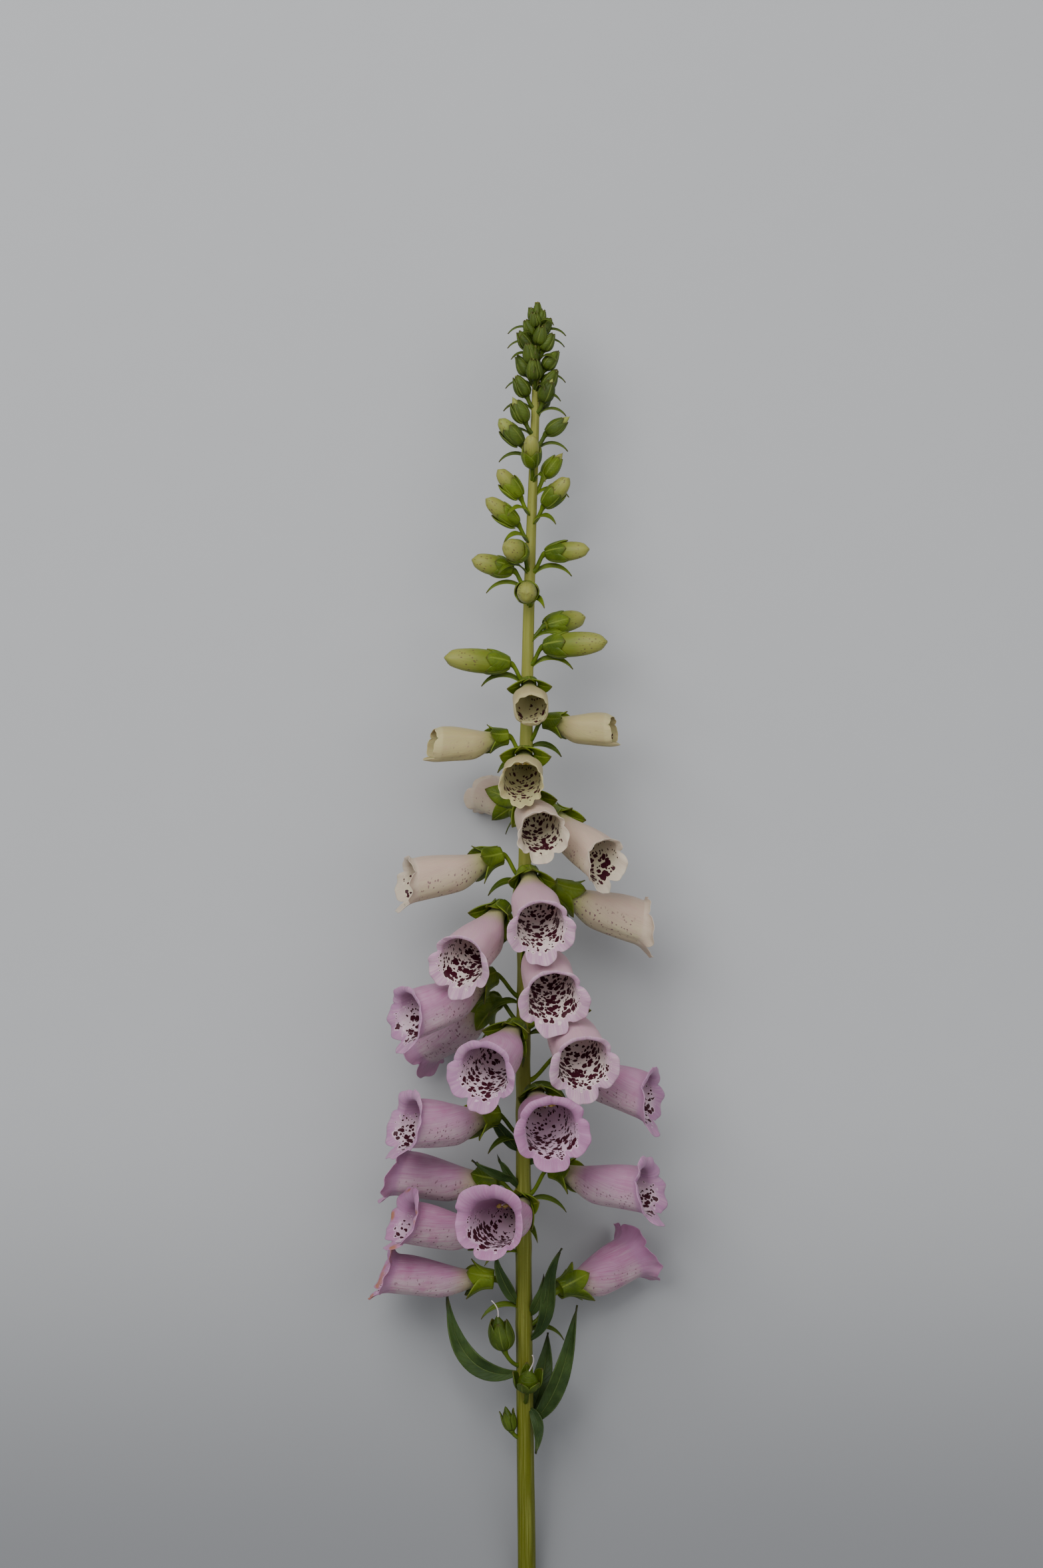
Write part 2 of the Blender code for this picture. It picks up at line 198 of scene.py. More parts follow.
def ring_point(radius: float, angle: float, z: float) -> Vector:
    """A point of a flower's own axes. The angle is 0 on its lower side."""
    return Vector((radius * math.sin(angle), -radius * math.cos(angle), z))


# ---------------------------------------------------------------- mesh work


def off_axis(vert: BMVert) -> bool:
    """Whether a spun point is on the skin, and not the middle of a closing end."""
    return math.hypot(vert.co.x, vert.co.y) > AXIS_RING


class Sculpt:
    """One piece in the making: a bmesh in mm that carries two coordinates for its finish on every point.

    skin holds arc and run, the place on the tissue in mm, and a seed. zone holds three shares.
    """

    def __init__(self) -> None:
        """Starts with nothing in it."""
        self.mesh: BMesh = bmesh.new()
        self.skin = self.mesh.verts.layers.float_vector.new("skin")
        self.zone = self.mesh.verts.layers.float_vector.new("zone")

    def mark(self, vert: BMVert, skin: Sequence[float], zone: Sequence[float]) -> None:
        """Writes both coordinates of one point."""
        vert[self.skin] = Vector(skin)
        vert[self.zone] = Vector(zone)

    def spun(self, profile: Sequence[tuple[float, float]], steps: int) -> list[BMVert]:
        """Turns a profile of (radius, z) once round z and gives the new points.

        Args:
            profile: its corners in order; ends that lie on the axis close the skin.
            steps: how many faces go round.

        Returns:
            The new points.
        """
        before = set(self.mesh.verts)
        corners = [self.mesh.verts.new((radius, 0.0, z)) for radius, z in profile]
        edges = [self.mesh.edges.new(pair) for pair in zip(corners, corners[1:])]
        turn = {"cent": (0, 0, 0), "axis": (0, 0, 1), "angle": math.tau, "steps": steps}
        bmesh.ops.spin(self.mesh, geom=corners + edges, use_merge=True, **turn)
        fresh = [vert for vert in self.mesh.verts if vert not in before]
        bmesh.ops.remove_doubles(self.mesh, verts=fresh, dist=1e-5)
        return [vert for vert in self.mesh.verts if vert not in before]

    def column(self, rows: int, steps: int, ends: bool = True) -> list[BMVert]:
        """A closed column of radius 1, with a row at each unit of z. Without ends, it closes to a point."""
        sides = range(rows + 1) if ends else range(1, rows)
        return self.spun([(0.0, 0.0), *((1.0, float(row)) for row in sides), (0.0, float(rows))], steps)

    def tube(self, path: Sequence[Vector], radii: Sequence[float], sides: int, seed: float) -> list[BMVert]:
        """A closed tube along a path, with its own radius at every point of it.

        Args:
            path: the centre line.
            radii: one radius for each of its points.
            sides: how many faces go round.
            seed: written into the skin coordinate.

        Returns:
            The new points.
        """
        last = len(path) - 1
        verts = self.column(last, sides)
        frames = []
        across = Vector((0.31, 0.12, 0.94))
        for row in range(last + 1):
            way = (path[min(row + 1, last)] - path[max(row - 1, 0)]).normalized()
            across = (across - way * across.dot(way)).normalized()
            frames.append((across, way.cross(across)))
        run = [0.0]
        for a, b in zip(path, path[1:]):
            run.append(run[-1] + (b - a).length)
        for vert in verts:
            row = round(vert.co.z)
            angle = math.atan2(vert.co.y, vert.co.x)
            radius = radii[row] if off_axis(vert) else 0.0
            one, two = frames[row]
            vert.co = path[row] + (one * math.cos(angle) + two * math.sin(angle)) * radius
            self.mark(vert, (angle * radii[row], run[row], seed), (run[row] / run[-1], 0.0, 0.0))
        return verts

    def blade(self, across: int, along: int, shape: SkinAt, wall: float, seed: float) -> None:
        """A thin leaf of tissue from a grid, given a wall.

        Args:
            across: faces from edge to edge.
            along: faces from root to tip.
            shape: gives the point at (off, share): off is -1 to 1 over the width, share 0 to 1 along it.
            wall: its thickness in mm.
            seed: written into the skin coordinate.
        """
        before = set(self.mesh.verts)
        made = bmesh.ops.create_grid(self.mesh, x_segments=across, y_segments=along, size=0.5)
        verts = made["verts"]
        faces = list({face for vert in verts for face in vert.link_faces})
        for vert in verts:
            off, share = vert.co.x * 2, vert.co.y + 0.5
            vert.co = shape(off, share)
            self.mark(vert, (off, share, seed), (share, abs(off), 0.0))
        bmesh.ops.recalc_face_normals(self.mesh, faces=faces)
        bmesh.ops.solidify(self.mesh, geom=faces, thickness=wall)
        for vert in self.mesh.verts:
            if vert not in before and vert[self.skin].length_squared == 0.0:
                near = min(verts, key=lambda other: (other.co - vert.co).length_squared)
                self.mark(vert, near[self.skin], near[self.zone])

    def piece(self, name: str, finish: "Finish", slot: str, *stands_for: str | None) -> None:
        """Makes the finished object, in place, and hands it to the frame.

        Args:
            name: the object's name.
            finish: the recipe of its material.
            slot: the record's material slot; it is not used.
            stands_for: the CAD nodes that it replaces, if any.
        """
        for vert in self.mesh.verts:
            if vert.co.z < FLOOR_EASE:
                vert.co.z = FLOOR_EASE * math.exp((vert.co.z - FLOOR_EASE) / FLOOR_EASE)
        bmesh.ops.recalc_face_normals(self.mesh, faces=self.mesh.faces)
        bmesh.ops.scale(self.mesh, vec=(MM, MM, MM), verts=self.mesh.verts)
        data = bpy.data.meshes.new(name)
        self.mesh.to_mesh(data)
        self.mesh.free()
        data.shade_smooth()
        data.materials.append(material_of(finish))
        made = bpy.data.objects.new(name, data)
        bpy.context.scene.collection.objects.link(made)
        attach(made, "root")
        nodes = [node for node in stands_for if node]
        if nodes:
            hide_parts(*nodes)
        log.info("%s: %d faces", name, len(data.polygons))


# ---------------------------------------------------------------- finishes


class Value:
    """Something that a shader node works out. Arithmetic on it adds Math nodes to its material."""

    def __init__(self, paint: "Paint", socket: Socket) -> None:
        """Holds one output of a node of this paint."""
        self.paint = paint
        self.socket = socket

    def __add__(self, other: "Value | float") -> "Value":
        """The sum."""
        return self.paint.math("ADD", self, other)

    def __sub__(self, other: "Value | float") -> "Value":
        """The difference."""
        return self.paint.math("SUBTRACT", self, other)

    def __mul__(self, other: "Value | float") -> "Value":
        """The product."""
        return self.paint.math("MULTIPLY", self, other)

    def __abs__(self) -> "Value":
        """The value without its sign."""
        return self.paint.math("ABSOLUTE", self)

    def step(self, low: float, high: float) -> "Value":
        """0 where this is at low and 1 where it is at high, smooth between. low may be the larger.

        Args:
            low: the value that gives 0.
            high: the value that gives 1.

        Returns:
            The share.
        """
        node = self.paint.nodes.new("ShaderNodeMapRange")
        node.interpolation_type = "SMOOTHSTEP"
        self.paint.put(self, node.inputs["Value"])
        self.paint.put(low, node.inputs["From Min"])
        self.paint.put(high, node.inputs["From Max"])
        return Value(self.paint, node.outputs["Result"])


class Paint:
    """Adds nodes to one material and links them, so that a finish reads as a recipe."""

    def __init__(self, name: str) -> None:
        """Starts a material with a plain Principled shader.

        Args:
            name: the material's name.
        """
        self.material = bpy.data.materials.new(name)
        self.material.use_nodes = True
        self.nodes = self.material.node_tree.nodes
        self.links = self.material.node_tree.links
        self.shader = self.nodes["Principled BSDF"]

    def put(self, value: Value | Colour | float, socket: Socket) -> None:
        """Links a worked-out value to an input, or sets a constant on it.

        Args:
            value: what the input is given.
            socket: the input.
        """
        if isinstance(value, Value):
            self.links.new(value.socket, socket)
        elif isinstance(value, tuple) and socket.type == "RGBA":
            socket.default_value = (*value, 1.0)
        else:
            socket.default_value = value

    def math(self, operation: str, a: Value | float, b: Value | float = 0.0) -> Value:
        """One Math node.

        Args:
            operation: the node's operation.
            a: its first number.
            b: its second number.

        Returns:
            What it gives.
        """
        node = self.nodes.new("ShaderNodeMath")
        node.operation = operation
        self.put(a, node.inputs[0])
        self.put(b, node.inputs[1])
        return Value(self, node.outputs[0])

    def mix(self, factor: Value, a: Value | Colour, b: Value | Colour) -> Value:
        """Colour a where factor is 0 and b where it is 1.

        Args:
            factor: the share of b.
            a: one colour.
            b: the other.

        Returns:
            The mixed colour.
        """
        node = self.nodes.new("ShaderNodeMix")
        node.data_type = "RGBA"
        self.put(factor, node.inputs[0])
        self.put(a, node.inputs[6])
        self.put(b, node.inputs[7])
        return Value(self, node.outputs[2])

    def attribute(self, name: str) -> list[Value]:
        """The three numbers of a point coordinate.

        Args:
            name: skin or zone.

        Returns:
            The three numbers.
        """
        node = self.nodes.new("ShaderNodeAttribute")
        node.attribute_name = name
        return self.split(Value(self, node.outputs["Vector"]))

    def split(self, vector: Value) -> list[Value]:
        """The three numbers of a vector.

        Args:
            vector: what is taken apart.

        Returns:
            Its x, y and z.
        """
        node = self.nodes.new("ShaderNodeSeparateXYZ")
        self.put(vector, node.inputs[0])
        return [Value(self, socket) for socket in node.outputs]

    def vector(self, *numbers: Value | float) -> Value:
        """A vector of three values.

        Args:
            numbers: x, y and z.

        Returns:
            The vector.
        """
        node = self.nodes.new("ShaderNodeCombineXYZ")
        for value, socket in zip(numbers, node.inputs):
            self.put(value, socket)
        return Value(self, node.outputs[0])

    def object_space(self) -> Value:
        """Place in the spike, in metres."""
        return Value(self, self.nodes.new("ShaderNodeTexCoord").outputs["Object"])

    def noise(self, vector: Value, scale: float, detail: float = 2.0) -> Value:
        """Noise of 0 to 1.

        Args:
            vector: the place it is read at.
            scale: how fine it is.
            detail: how many finer layers it has.

        Returns:
            The noise.
        """
        node = self.nodes.new("ShaderNodeTexNoise")
        self.put(vector, node.inputs["Vector"])
        self.put(scale, node.inputs["Scale"])
        self.put(detail, node.inputs["Detail"])
        return Value(self, node.outputs["Fac"])

    def cells(self, vector: Value, scale: float) -> tuple[Value, Value]:
        """Distance to the nearest random point, and that point's own random number.

        Args:
            vector: the place it is read at.
            scale: how fine the cells are.

        Returns:
            The distance and the random number.
        """
        node = self.nodes.new("ShaderNodeTexVoronoi")
        self.put(vector, node.inputs["Vector"])
        self.put(scale, node.inputs["Scale"])
        self.put(0.85, node.inputs["Randomness"])
        split = self.nodes.new("ShaderNodeSeparateColor")
        self.links.new(node.outputs["Color"], split.inputs[0])
        return Value(self, node.outputs["Distance"]), Value(self, split.outputs[0])

    def bump(self, height: Value, distance: float, strength: float = 0.6) -> None:
        """Raises the surface by a height of 0 to 1 times distance, in mm.

        Args:
            height: the height, as a share.
            distance: the height of 1, in mm.
            strength: how much of it shows.
        """
        node = self.nodes.new("ShaderNodeBump")
        self.put(strength, node.inputs["Strength"])
        self.put(distance * MM, node.inputs["Distance"])
        self.put(height, node.inputs["Height"])
        self.links.new(node.outputs["Normal"], self.shader.inputs["Normal"])

    def set(self, **values: Value | Colour | float) -> None:
        """Fills the shader's own inputs. An underscore stands for a space."""
        for name, value in values.items():
            self.put(value, self.shader.inputs[name.replace("_", " ")])


@dataclass(frozen=True)
class PetalFinish:
    """A petal: its colours from the neck to the lobes, and how strongly it is spotted."""

    name: str
    neck: Colour
    back: Colour
    belly: Colour
    lobe: Colour
    inside: Colour
    throat: Colour
    blush: Colour
    spot: Colour = (0.048, 0.0015, 0.010)
    ghost: Colour = (0.17, 0.065, 0.105)
    dry: Colour = (0.36, 0.14, 0.045)
    spotting: float = 1.0
    ghosting: float = 0.75
    aged: float = 0.0

    def build(self) -> bpy.types.Material:
        """The material, read from the skin and zone coordinates of the bell.

        Returns:
            The material.
        """
        paint = Paint(self.name)
        arc, run, seed = paint.attribute("skin")
        along, low, inner = paint.attribute("zone")
        shift = seed * 13.7
        flat = paint.vector(arc, run, shift)
        streaks = paint.noise(paint.vector(arc * 1.9, run * 0.10, shift), 1.0, 3.0)
        clouds = paint.noise(flat, 0.16)
        veins = paint.noise(paint.vector(arc * 3.6, run * 0.22, shift), 1.0)

        # The outer skin, paler below, with blushed and bleached streaks.
        outside = paint.mix((low + clouds * 0.5).step(-0.1, 1.0), self.back, self.belly)
        outside = paint.mix(streaks.step(0.40, 0.80) * 0.65, outside, self.blush)
        outside = paint.mix(streaks.step(0.44, 0.26) * 0.35, outside, self.belly)
        outside = paint.mix(clouds.step(0.45, 0.75) * 0.45, outside, self.blush)
        outside = paint.mix(along.step(0.24, 0.06), outside, self.neck)
        outside = paint.mix(along.step(0.46, 0.64) * 0.7, outside, self.lobe)

        # The inner skin, whitish on the floor of the throat.
        floor = low.step(-0.5, 0.5) * along.step(0.78, 0.5)
        lobes = paint.mix(streaks.step(0.35, 0.75), self.lobe, self.inside)
        within = paint.mix(floor, lobes, self.throat)
        within = paint.mix(along.step(0.2, 0.0) * 0.6, within, self.neck)

        # Large spots on the throat's floor and fine ones further up, each in a pale ring.
        wander = paint.noise(flat, 0.9, 1.0)
        bent = paint.vector(arc + wander * 1.6, run * 0.86 + clouds * 1.5, shift)
        near, pick = paint.cells(bent, 0.43)
        near_fine, pick_fine = paint.cells(bent, 0.80)
        reach = low.step(-0.10, 0.50) * along.step(0.06, 0.20) * along.step(0.90, 0.62)
        large = (pick * 0.30 + 0.26) * reach * (along.step(-0.20, 0.45) * (1.12 * self.spotting))
        wide = low.step(-0.75, 0.0) * along.step(0.84, 0.60)
        fine = pick_fine.step(0.10, 0.55) * (wide * (0.37 * self.spotting))
        gap, gap_fine = near - large, near_fine - fine
        there, there_fine = large.step(0.04, 0.09), fine.step(0.05, 0.10)
        spots = paint.math("MAXIMUM", gap.step(0.01, -0.03) * there, gap_fine.step(0.01, -0.03) * there_fine)
        halo = paint.math("MAXIMUM", gap.step(0.20, 0.04) * there, gap_fine.step(0.17, 0.03) * there_fine)
        within = paint.mix(halo * 0.85, within, self.throat)
        within = paint.mix(spots, within, self.spot)

        # The same spots show faintly through the lower side of the tube.
        seen = low.step(-0.25, 0.35) * along.step(0.58, 0.45) * along.step(0.05, 0.13)
        outside = paint.mix(near_fine.step(0.50, 0.30) * (seen * (0.35 * self.ghosting)), outside, self.belly)
        faint = near_fine.step(0.33, 0.20) * pick_fine.step(0.15, 0.5)
        outside = paint.mix(faint * (seen * self.ghosting), outside, self.ghost)

        tissue = paint.mix(inner, outside, within)
        if self.aged:
            dried = along.step(0.60, 0.95) * clouds.step(0.50, 0.62)
            tissue = paint.mix(dried * self.aged, tissue, self.dry)
        tissue = paint.mix(along.step(0.965, 1.0) * 0.35, tissue, self.inside)
        paint.set(Base_Color=tissue, Roughness=streaks * 0.18 + 0.42)
        paint.set(Subsurface_Weight=0.36, Subsurface_Scale=0.0009, Subsurface_Radius=(1.0, 0.55, 0.7))
        paint.set(Specular_IOR_Level=0.26, Sheen_Weight=0.03)
        paint.bump(veins + spots * 0.35, 0.22, 0.5)
        return paint.material


@dataclass(frozen=True)
class LeafFinish:
    """Green tissue with a paler midrib, side veins and a dusky tip."""

    name: str
    face: Colour
    shade: Colour
    rib: Colour
    tip: Colour
    veins: float = 5.0

    def build(self) -> bpy.types.Material:
        """The material, read from the zone coordinate of a blade.

        Returns:
            The material.
        """
        paint = Paint(self.name)
        along, side, _ = paint.attribute("zone")
        place = paint.object_space()
        mottle = paint.noise(place, 330.0, 3.0)
        broad = paint.noise(place, 70.0, 1.0)
        green = paint.mix((broad + mottle * 0.4).step(0.45, 0.95), self.shade, self.face)
        slant = along * (self.veins * 2) - side * 2.2
        vein = abs(paint.math("SINE", slant * math.pi)).step(0.22, 0.02)
        middle = side.step(0.13, 0.02)
        green = paint.mix(vein * 0.25, green, self.rib)
        green = paint.mix(middle * 0.7, green, self.rib)
        green = paint.mix(side.step(0.9, 1.0) * 0.4, green, self.rib)
        green = paint.mix(along.step(0.86, 1.0) * 0.7, green, self.tip)
        paint.set(Base_Color=green, Roughness=mottle * 0.2 + 0.4)
        paint.set(Subsurface_Weight=0.08, Subsurface_Scale=0.001, Specular_IOR_Level=0.22)
        paint.bump(mottle - (vein + middle), 0.25)
        return paint.material


@dataclass(frozen=True)
class StemFinish:
    """A fresh stalk: yellow-green, ribbed along its length, greener and thinner towards the buds."""

    name: str
    low: Colour
    high: Colour
    rib: Colour
    fleck: Colour

    def build(self) -> bpy.types.Material:
        """The material, read from the skin and zone coordinates of the stem.

        Returns:
            The material.
        """
        paint = Paint(self.name)
        arc, run, _ = paint.attribute("skin")
        along, _, cut = paint.attribute("zone")
        fibres = paint.noise(paint.vector(arc * 2.6, run * 0.035, 0.0), 1.0, 3.0)
        clouds = paint.noise(paint.vector(arc * 0.25, run * 0.05, 4.0), 1.0)
        grain = paint.noise(paint.object_space(), 900.0)
        green = paint.mix(along.step(0.05, 0.72), self.low, self.high)
        green = paint.mix(fibres.step(0.45, 0.75) * 0.55, green, self.rib)
        green = paint.mix(clouds.step(0.55, 0.85) * 0.45, green, self.fleck)
        green = paint.mix(grain.step(0.62, 0.75) * 0.2, green, self.fleck)
        green = paint.mix(cut, green, self.rib)
        paint.set(Base_Color=green, Roughness=grain * 0.2 + 0.36)
        paint.set(Subsurface_Weight=0.08, Subsurface_Scale=0.001, Specular_IOR_Level=0.22)
        paint.bump(fibres + grain * 0.3, 0.3)
        return paint.material


@dataclass(frozen=True)
class BudFinish:
    """Closed petals: green at the foot, cream at the tip, with a few dull dots near the end."""

    name: str
    foot: Colour
    tip: Colour
    dot: Colour

    def build(self) -> bpy.types.Material:
        """The material, read from the skin and zone coordinates.

        Returns:
            The material.
        """
        paint = Paint(self.name)
        arc, run, seed = paint.attribute("skin")
        along, _, _ = paint.attribute("zone")
        flat = paint.vector(arc, run, seed * 7.3)
        streaks = paint.noise(paint.vector(arc * 1.6, run * 0.2, seed), 1.0)
        patch = paint.noise(flat, 0.22, 1.0)
        near, _ = paint.cells(flat, 0.62)
        cream = paint.mix((along + streaks * 0.3).step(0.55, 1.0), self.foot, self.tip)
        dots = near.step(0.30, 0.18) * patch.step(0.40, 0.55) * along.step(0.45, 0.6)
        cream = paint.mix(dots * 0.75, cream, self.dot)
        paint.set(Base_Color=cream, Roughness=streaks * 0.2 + 0.38)
        paint.set(Subsurface_Weight=0.18, Subsurface_Scale=0.0015, Specular_IOR_Level=0.26)
        paint.bump(streaks, 0.2, 0.5)
        return paint.material


@dataclass(frozen=True)
class ThreadFinish:
    """Stamens and styles: pale threads with yellow, brown-flecked heads."""

    name: str
    thread: Colour
    head: Colour
    fleck: Colour

    def build(self) -> bpy.types.Material:
        """The material; the third share of the zone coordinate is 1 on the heads.

        Returns:
            The material.
        """
        paint = Paint(self.name)
        _, _, head = paint.attribute("zone")
        grain = paint.noise(paint.object_space(), 1500.0)
        yellow = paint.mix(grain.step(0.5, 0.65), self.head, self.fleck)
        paint.set(Base_Color=paint.mix(head, self.thread, yellow), Roughness=grain * 0.3 + 0.35)
        paint.set(Subsurface_Weight=0.15, Subsurface_Scale=0.001)
        paint.bump(grain, 0.1, 0.5)
        return paint.material


CREAM = PetalFinish(
    "petal_cream",
    neck=(0.34, 0.36, 0.10),
    back=(0.44, 0.37, 0.17),
    belly=(0.46, 0.40, 0.19),
    lobe=(0.50, 0.44, 0.22),
    inside=(0.50, 0.46, 0.23),
    throat=(0.50, 0.46, 0.24),
    blush=(0.44, 0.34, 0.19),
    spotting=0.9,
    ghosting=0.4,
)
BLUSH = PetalFinish(
    "petal_blush",
    neck=(0.40, 0.42, 0.14),
    back=(0.525, 0.392, 0.302),
    belly=(0.53, 0.462, 0.302),
    lobe=(0.582, 0.488, 0.378),
    inside=(0.60, 0.52, 0.40),
    throat=(0.66, 0.60, 0.44),
    blush=(0.50, 0.35, 0.29),
    spotting=1.1,
    ghosting=0.85,
)
PALE = PetalFinish(
    "petal_pale_pink",
    neck=(0.41, 0.4, 0.154),
    back=(0.523, 0.326, 0.366),
    belly=(0.568, 0.42, 0.403),
    lobe=(0.484, 0.276, 0.4),
    inside=(0.576, 0.415, 0.456),
    throat=(0.74, 0.62, 0.58),
    blush=(0.529, 0.288, 0.392),
    spotting=1.12,
)
PINK = PetalFinish(
    "petal_pink",
    neck=(0.41, 0.38, 0.176),
    back=(0.465, 0.255, 0.369),
    belly=(0.529, 0.401, 0.427),
    lobe=(0.414, 0.207, 0.356),
    inside=(0.485, 0.294, 0.403),
    throat=(0.70, 0.54, 0.60),
    blush=(0.419, 0.15, 0.295),
    spotting=1.0,
)
DEEP = PetalFinish(
    "petal_deep_pink",
    neck=(0.41, 0.38, 0.187),
    back=(0.428, 0.217, 0.331),
    belly=(0.49, 0.378, 0.39),
    lobe=(0.397, 0.181, 0.322),
    inside=(0.441, 0.239, 0.371),
    throat=(0.66, 0.47, 0.58),
    blush=(0.372, 0.09, 0.23),
    spotting=1.05,
)
AGED = replace(DEEP, name="petal_aged_pink", spotting=1.0, aged=0.85)
SEPAL = LeafFinish(
    "sepal_green",
    face=(0.15, 0.21, 0.010),
    shade=(0.050, 0.085, 0.003),
    rib=(0.22, 0.28, 0.035),
    tip=(0.10, 0.08, 0.02),
    veins=4.0,
)
YOUNG = LeafFinish(
    "young_green",
    face=(0.085, 0.125, 0.012),
    shade=(0.036, 0.058, 0.004),
    rib=(0.15, 0.19, 0.03),
    tip=(0.07, 0.05, 0.015),
    veins=3.0,
)
BRACT = LeafFinish(
    "bract_green",
    face=(0.085, 0.13, 0.009),
    shade=(0.035, 0.060, 0.003),
    rib=(0.15, 0.20, 0.03),
    tip=(0.08, 0.055, 0.015),
    veins=4.0,
)
LEAF = LeafFinish(
    "leaf_dark_green",
    face=(0.045, 0.080, 0.016),
    shade=(0.016, 0.036, 0.007),
    rib=(0.10, 0.14, 0.04),
    tip=(0.04, 0.035, 0.012),
    veins=7.0,
)
STALK = StemFinish(
    "stem_yellow_green",
    low=(0.100, 0.110, 0.002),
    high=(0.23, 0.235, 0.040),
    rib=(0.30, 0.31, 0.075),
    fleck=(0.055, 0.050, 0.002),
)
CLOSED = BudFinish("bud_cream", (0.15, 0.185, 0.015), (0.27, 0.275, 0.06), (0.10, 0.045, 0.03))
GREEN_BUD = BudFinish("bud_green_young", (0.10, 0.14, 0.012), (0.26, 0.29, 0.06), (0.13, 0.09, 0.03))
THREAD = ThreadFinish("stamen", (0.72, 0.62, 0.62), (0.62, 0.48, 0.12), (0.25, 0.10, 0.04))


class Stage(Enum):
    """How far a flower has come, which sets its colours."""

    CREAM = CREAM
    BLUSH = BLUSH
    PALE = PALE
    PINK = PINK
    DEEP = DEEP
    AGED = AGED


Finish = PetalFinish | LeafFinish | StemFinish | BudFinish | ThreadFinish
MATERIALS: dict[str, bpy.types.Material] = {}


def material_of(recipe: Finish) -> bpy.types.Material:
    """The material of a recipe, built once.

    Args:
        recipe: one of the finishes.

    Returns:
        The material.
    """
    if recipe.name not in MATERIALS:
        MATERIALS[recipe.name] = recipe.build()
    return MATERIALS[recipe.name]


# ---------------------------------------------------------------- sepals, pedicels and bracts


@dataclass(frozen=True)
class SepalRing:
    """Five sepals round a skin, with the receptacle and pedicel that carry them. Lengths in mm."""

    length: float
    half_width: float
    spread: float
    layer: float = 0.9
    curl: float = 0.5

    def add(self, sculpt: Sculpt, perch: Perch, skin: SkinAt, seed: int, detail: int = 1) -> None:
        """Adds them to a piece.

        Args:
            sculpt: the piece.
            perch: where the flower is.
            skin: the point of the flower's skin at (z, angle), in its own axes.
            seed: makes each ring its own.
            detail: 1 for a flower's, 0 for a small bud's.
        """
        place = perch.place()
        across, along = (8, 14) if detail else (4, 7)
        for number in range(5):
            centre = math.radians(36 + 72 * number) + 0.10 * ripple(seed * 1.7, number, 0.5)
            top = number == 2
            half = self.half_width * (0.74 if top else 1.0) * (1 + 0.10 * ripple(seed, number * 2.1, 3.0))
            length = self.length * (0.94 if top else 1.0) * (1 + 0.10 * ripple(seed, number * 3.3, 8.0))
            lift = self.layer + 0.34 * (number % 2) + (0.25 if number == 4 else 0.0)
            spread = self.spread * (1 + 0.45 * ripple(seed * 2.3, number * 1.9, 5.0))

            def shape(off: float, share: float) -> Vector:
                """The point of the blade at this place across and along it."""
                width = half * math.sin(math.pi * min(1.0, 0.20 + 0.80 * share**1.25)) ** 0.9 + 0.05
                z = 0.5 + (length - 0.5) * share * (1 - 0.16 * self.spread / 4.0 * share)
                here = skin(z, centre)
                radius = math.hypot(here.x, here.y) + lift + spread * share**2.2 + self.curl * share**6
                radius += 0.13 * width * (1 - off * off) * share
                angle = centre + off * width / max(radius, 1.2)
                radius += 0.10 * ripple(off * 1.5, share * 3, seed + number) * share
                return place @ ring_point(radius, angle, z)

            sculpt.blade(across, along, shape, 0.42 if detail else 0.34, seed + number * 0.37)
        self.add_stalk(sculpt, perch, skin, seed, detail)

    def add_stalk(self, sculpt: Sculpt, perch: Perch, skin: SkinAt, seed: int, detail: int) -> None:
        """Adds the pedicel, which widens into the receptacle under the sepals.

        Args:
            sculpt: the piece.
            perch: where the flower is.
            skin: the point of the flower's skin at (z, angle).
            seed: makes each stalk its own.
            detail: 1 for a flower's, 0 for a small bud's.
        """
        line = perch.pedicel(16 if detail else 8)
        along = pointing(perch.face, perch.droop)
        cup = math.hypot(*skin(1.2, 0.0).xy) + self.layer
        slim = PEDICEL_RADIUS * min(1.0, self.length / 8.0)
        count = len(line) - 1
        radii = []
        for step in range(count + 1):
            root, top = 1 - min(1.0, 4 * step / count), between(0.7, 1.0, step / count)
            radii.append(slim * (1 + 0.5 * root + 0.7 * top))
        foot = [(0.5, 0.80), (1.1, 1.0), (1.9, 0.92), (2.3, 0.5)]
        line += [line[-1] + along * step for step, _ in foot]
        radii += [max(slim * 1.6, cup * share) for _, share in foot]
        for vert in sculpt.tube(line, radii, 12 if detail else 8, seed):
            vert[sculpt.zone] = Vector((0.3, 0.5, 0.0))


@dataclass(frozen=True)
class Bract:
    """A narrow leaf under a pedicel: it leaves the stem, arches over and ends in a fine point."""

    height: float
    side: float
    length: float
    half_width: float = 1.3
    climb: float = 0.5
    fall: float = 0.6

    def add(self, sculpt: Sculpt, seed: float) -> None:
        """Adds it to a piece.

        Args:
            sculpt: the piece.
            seed: makes each bract its own.
        """
        away = outward(self.side)
        root = stem_point(self.height) + away * stem_radius(self.height) * 0.8
        one = root + (away * 0.45 + UP * self.climb) * self.length * 0.5
        two = root + (away * 0.95 + UP * (self.climb * 0.9 - self.fall * 0.2)) * self.length * 0.75
        end = root + (away * 1.0 + UP * (self.climb * 0.6 - self.fall)) * self.length
        sideways = away.cross(UP).normalized()
        twist = (1.1 + 0.5 * ripple(seed * 3.1, 1.0, 2.0)) * (1 if away.x > 0 else -1)

        def shape(off: float, share: float) -> Vector:
            """The point of the blade at this place across and along it."""
            spine, way = spine_of((root, one, two, end), share)
            flat = (sideways + way.cross(sideways) * twist * min(1.0, 0.3 + share)).normalized()
            width = self.half_width * (math.sin(math.pi * min(1.0, 0.12 + 0.88 * share**0.8)) ** 0.9) + 0.10
            fold = 0.30 * width * abs(off)
            return spine + flat * off * width + flat.cross(way) * fold

        sculpt.blade(4, 12, shape, 0.34, seed)


# ---------------------------------------------------------------- bells


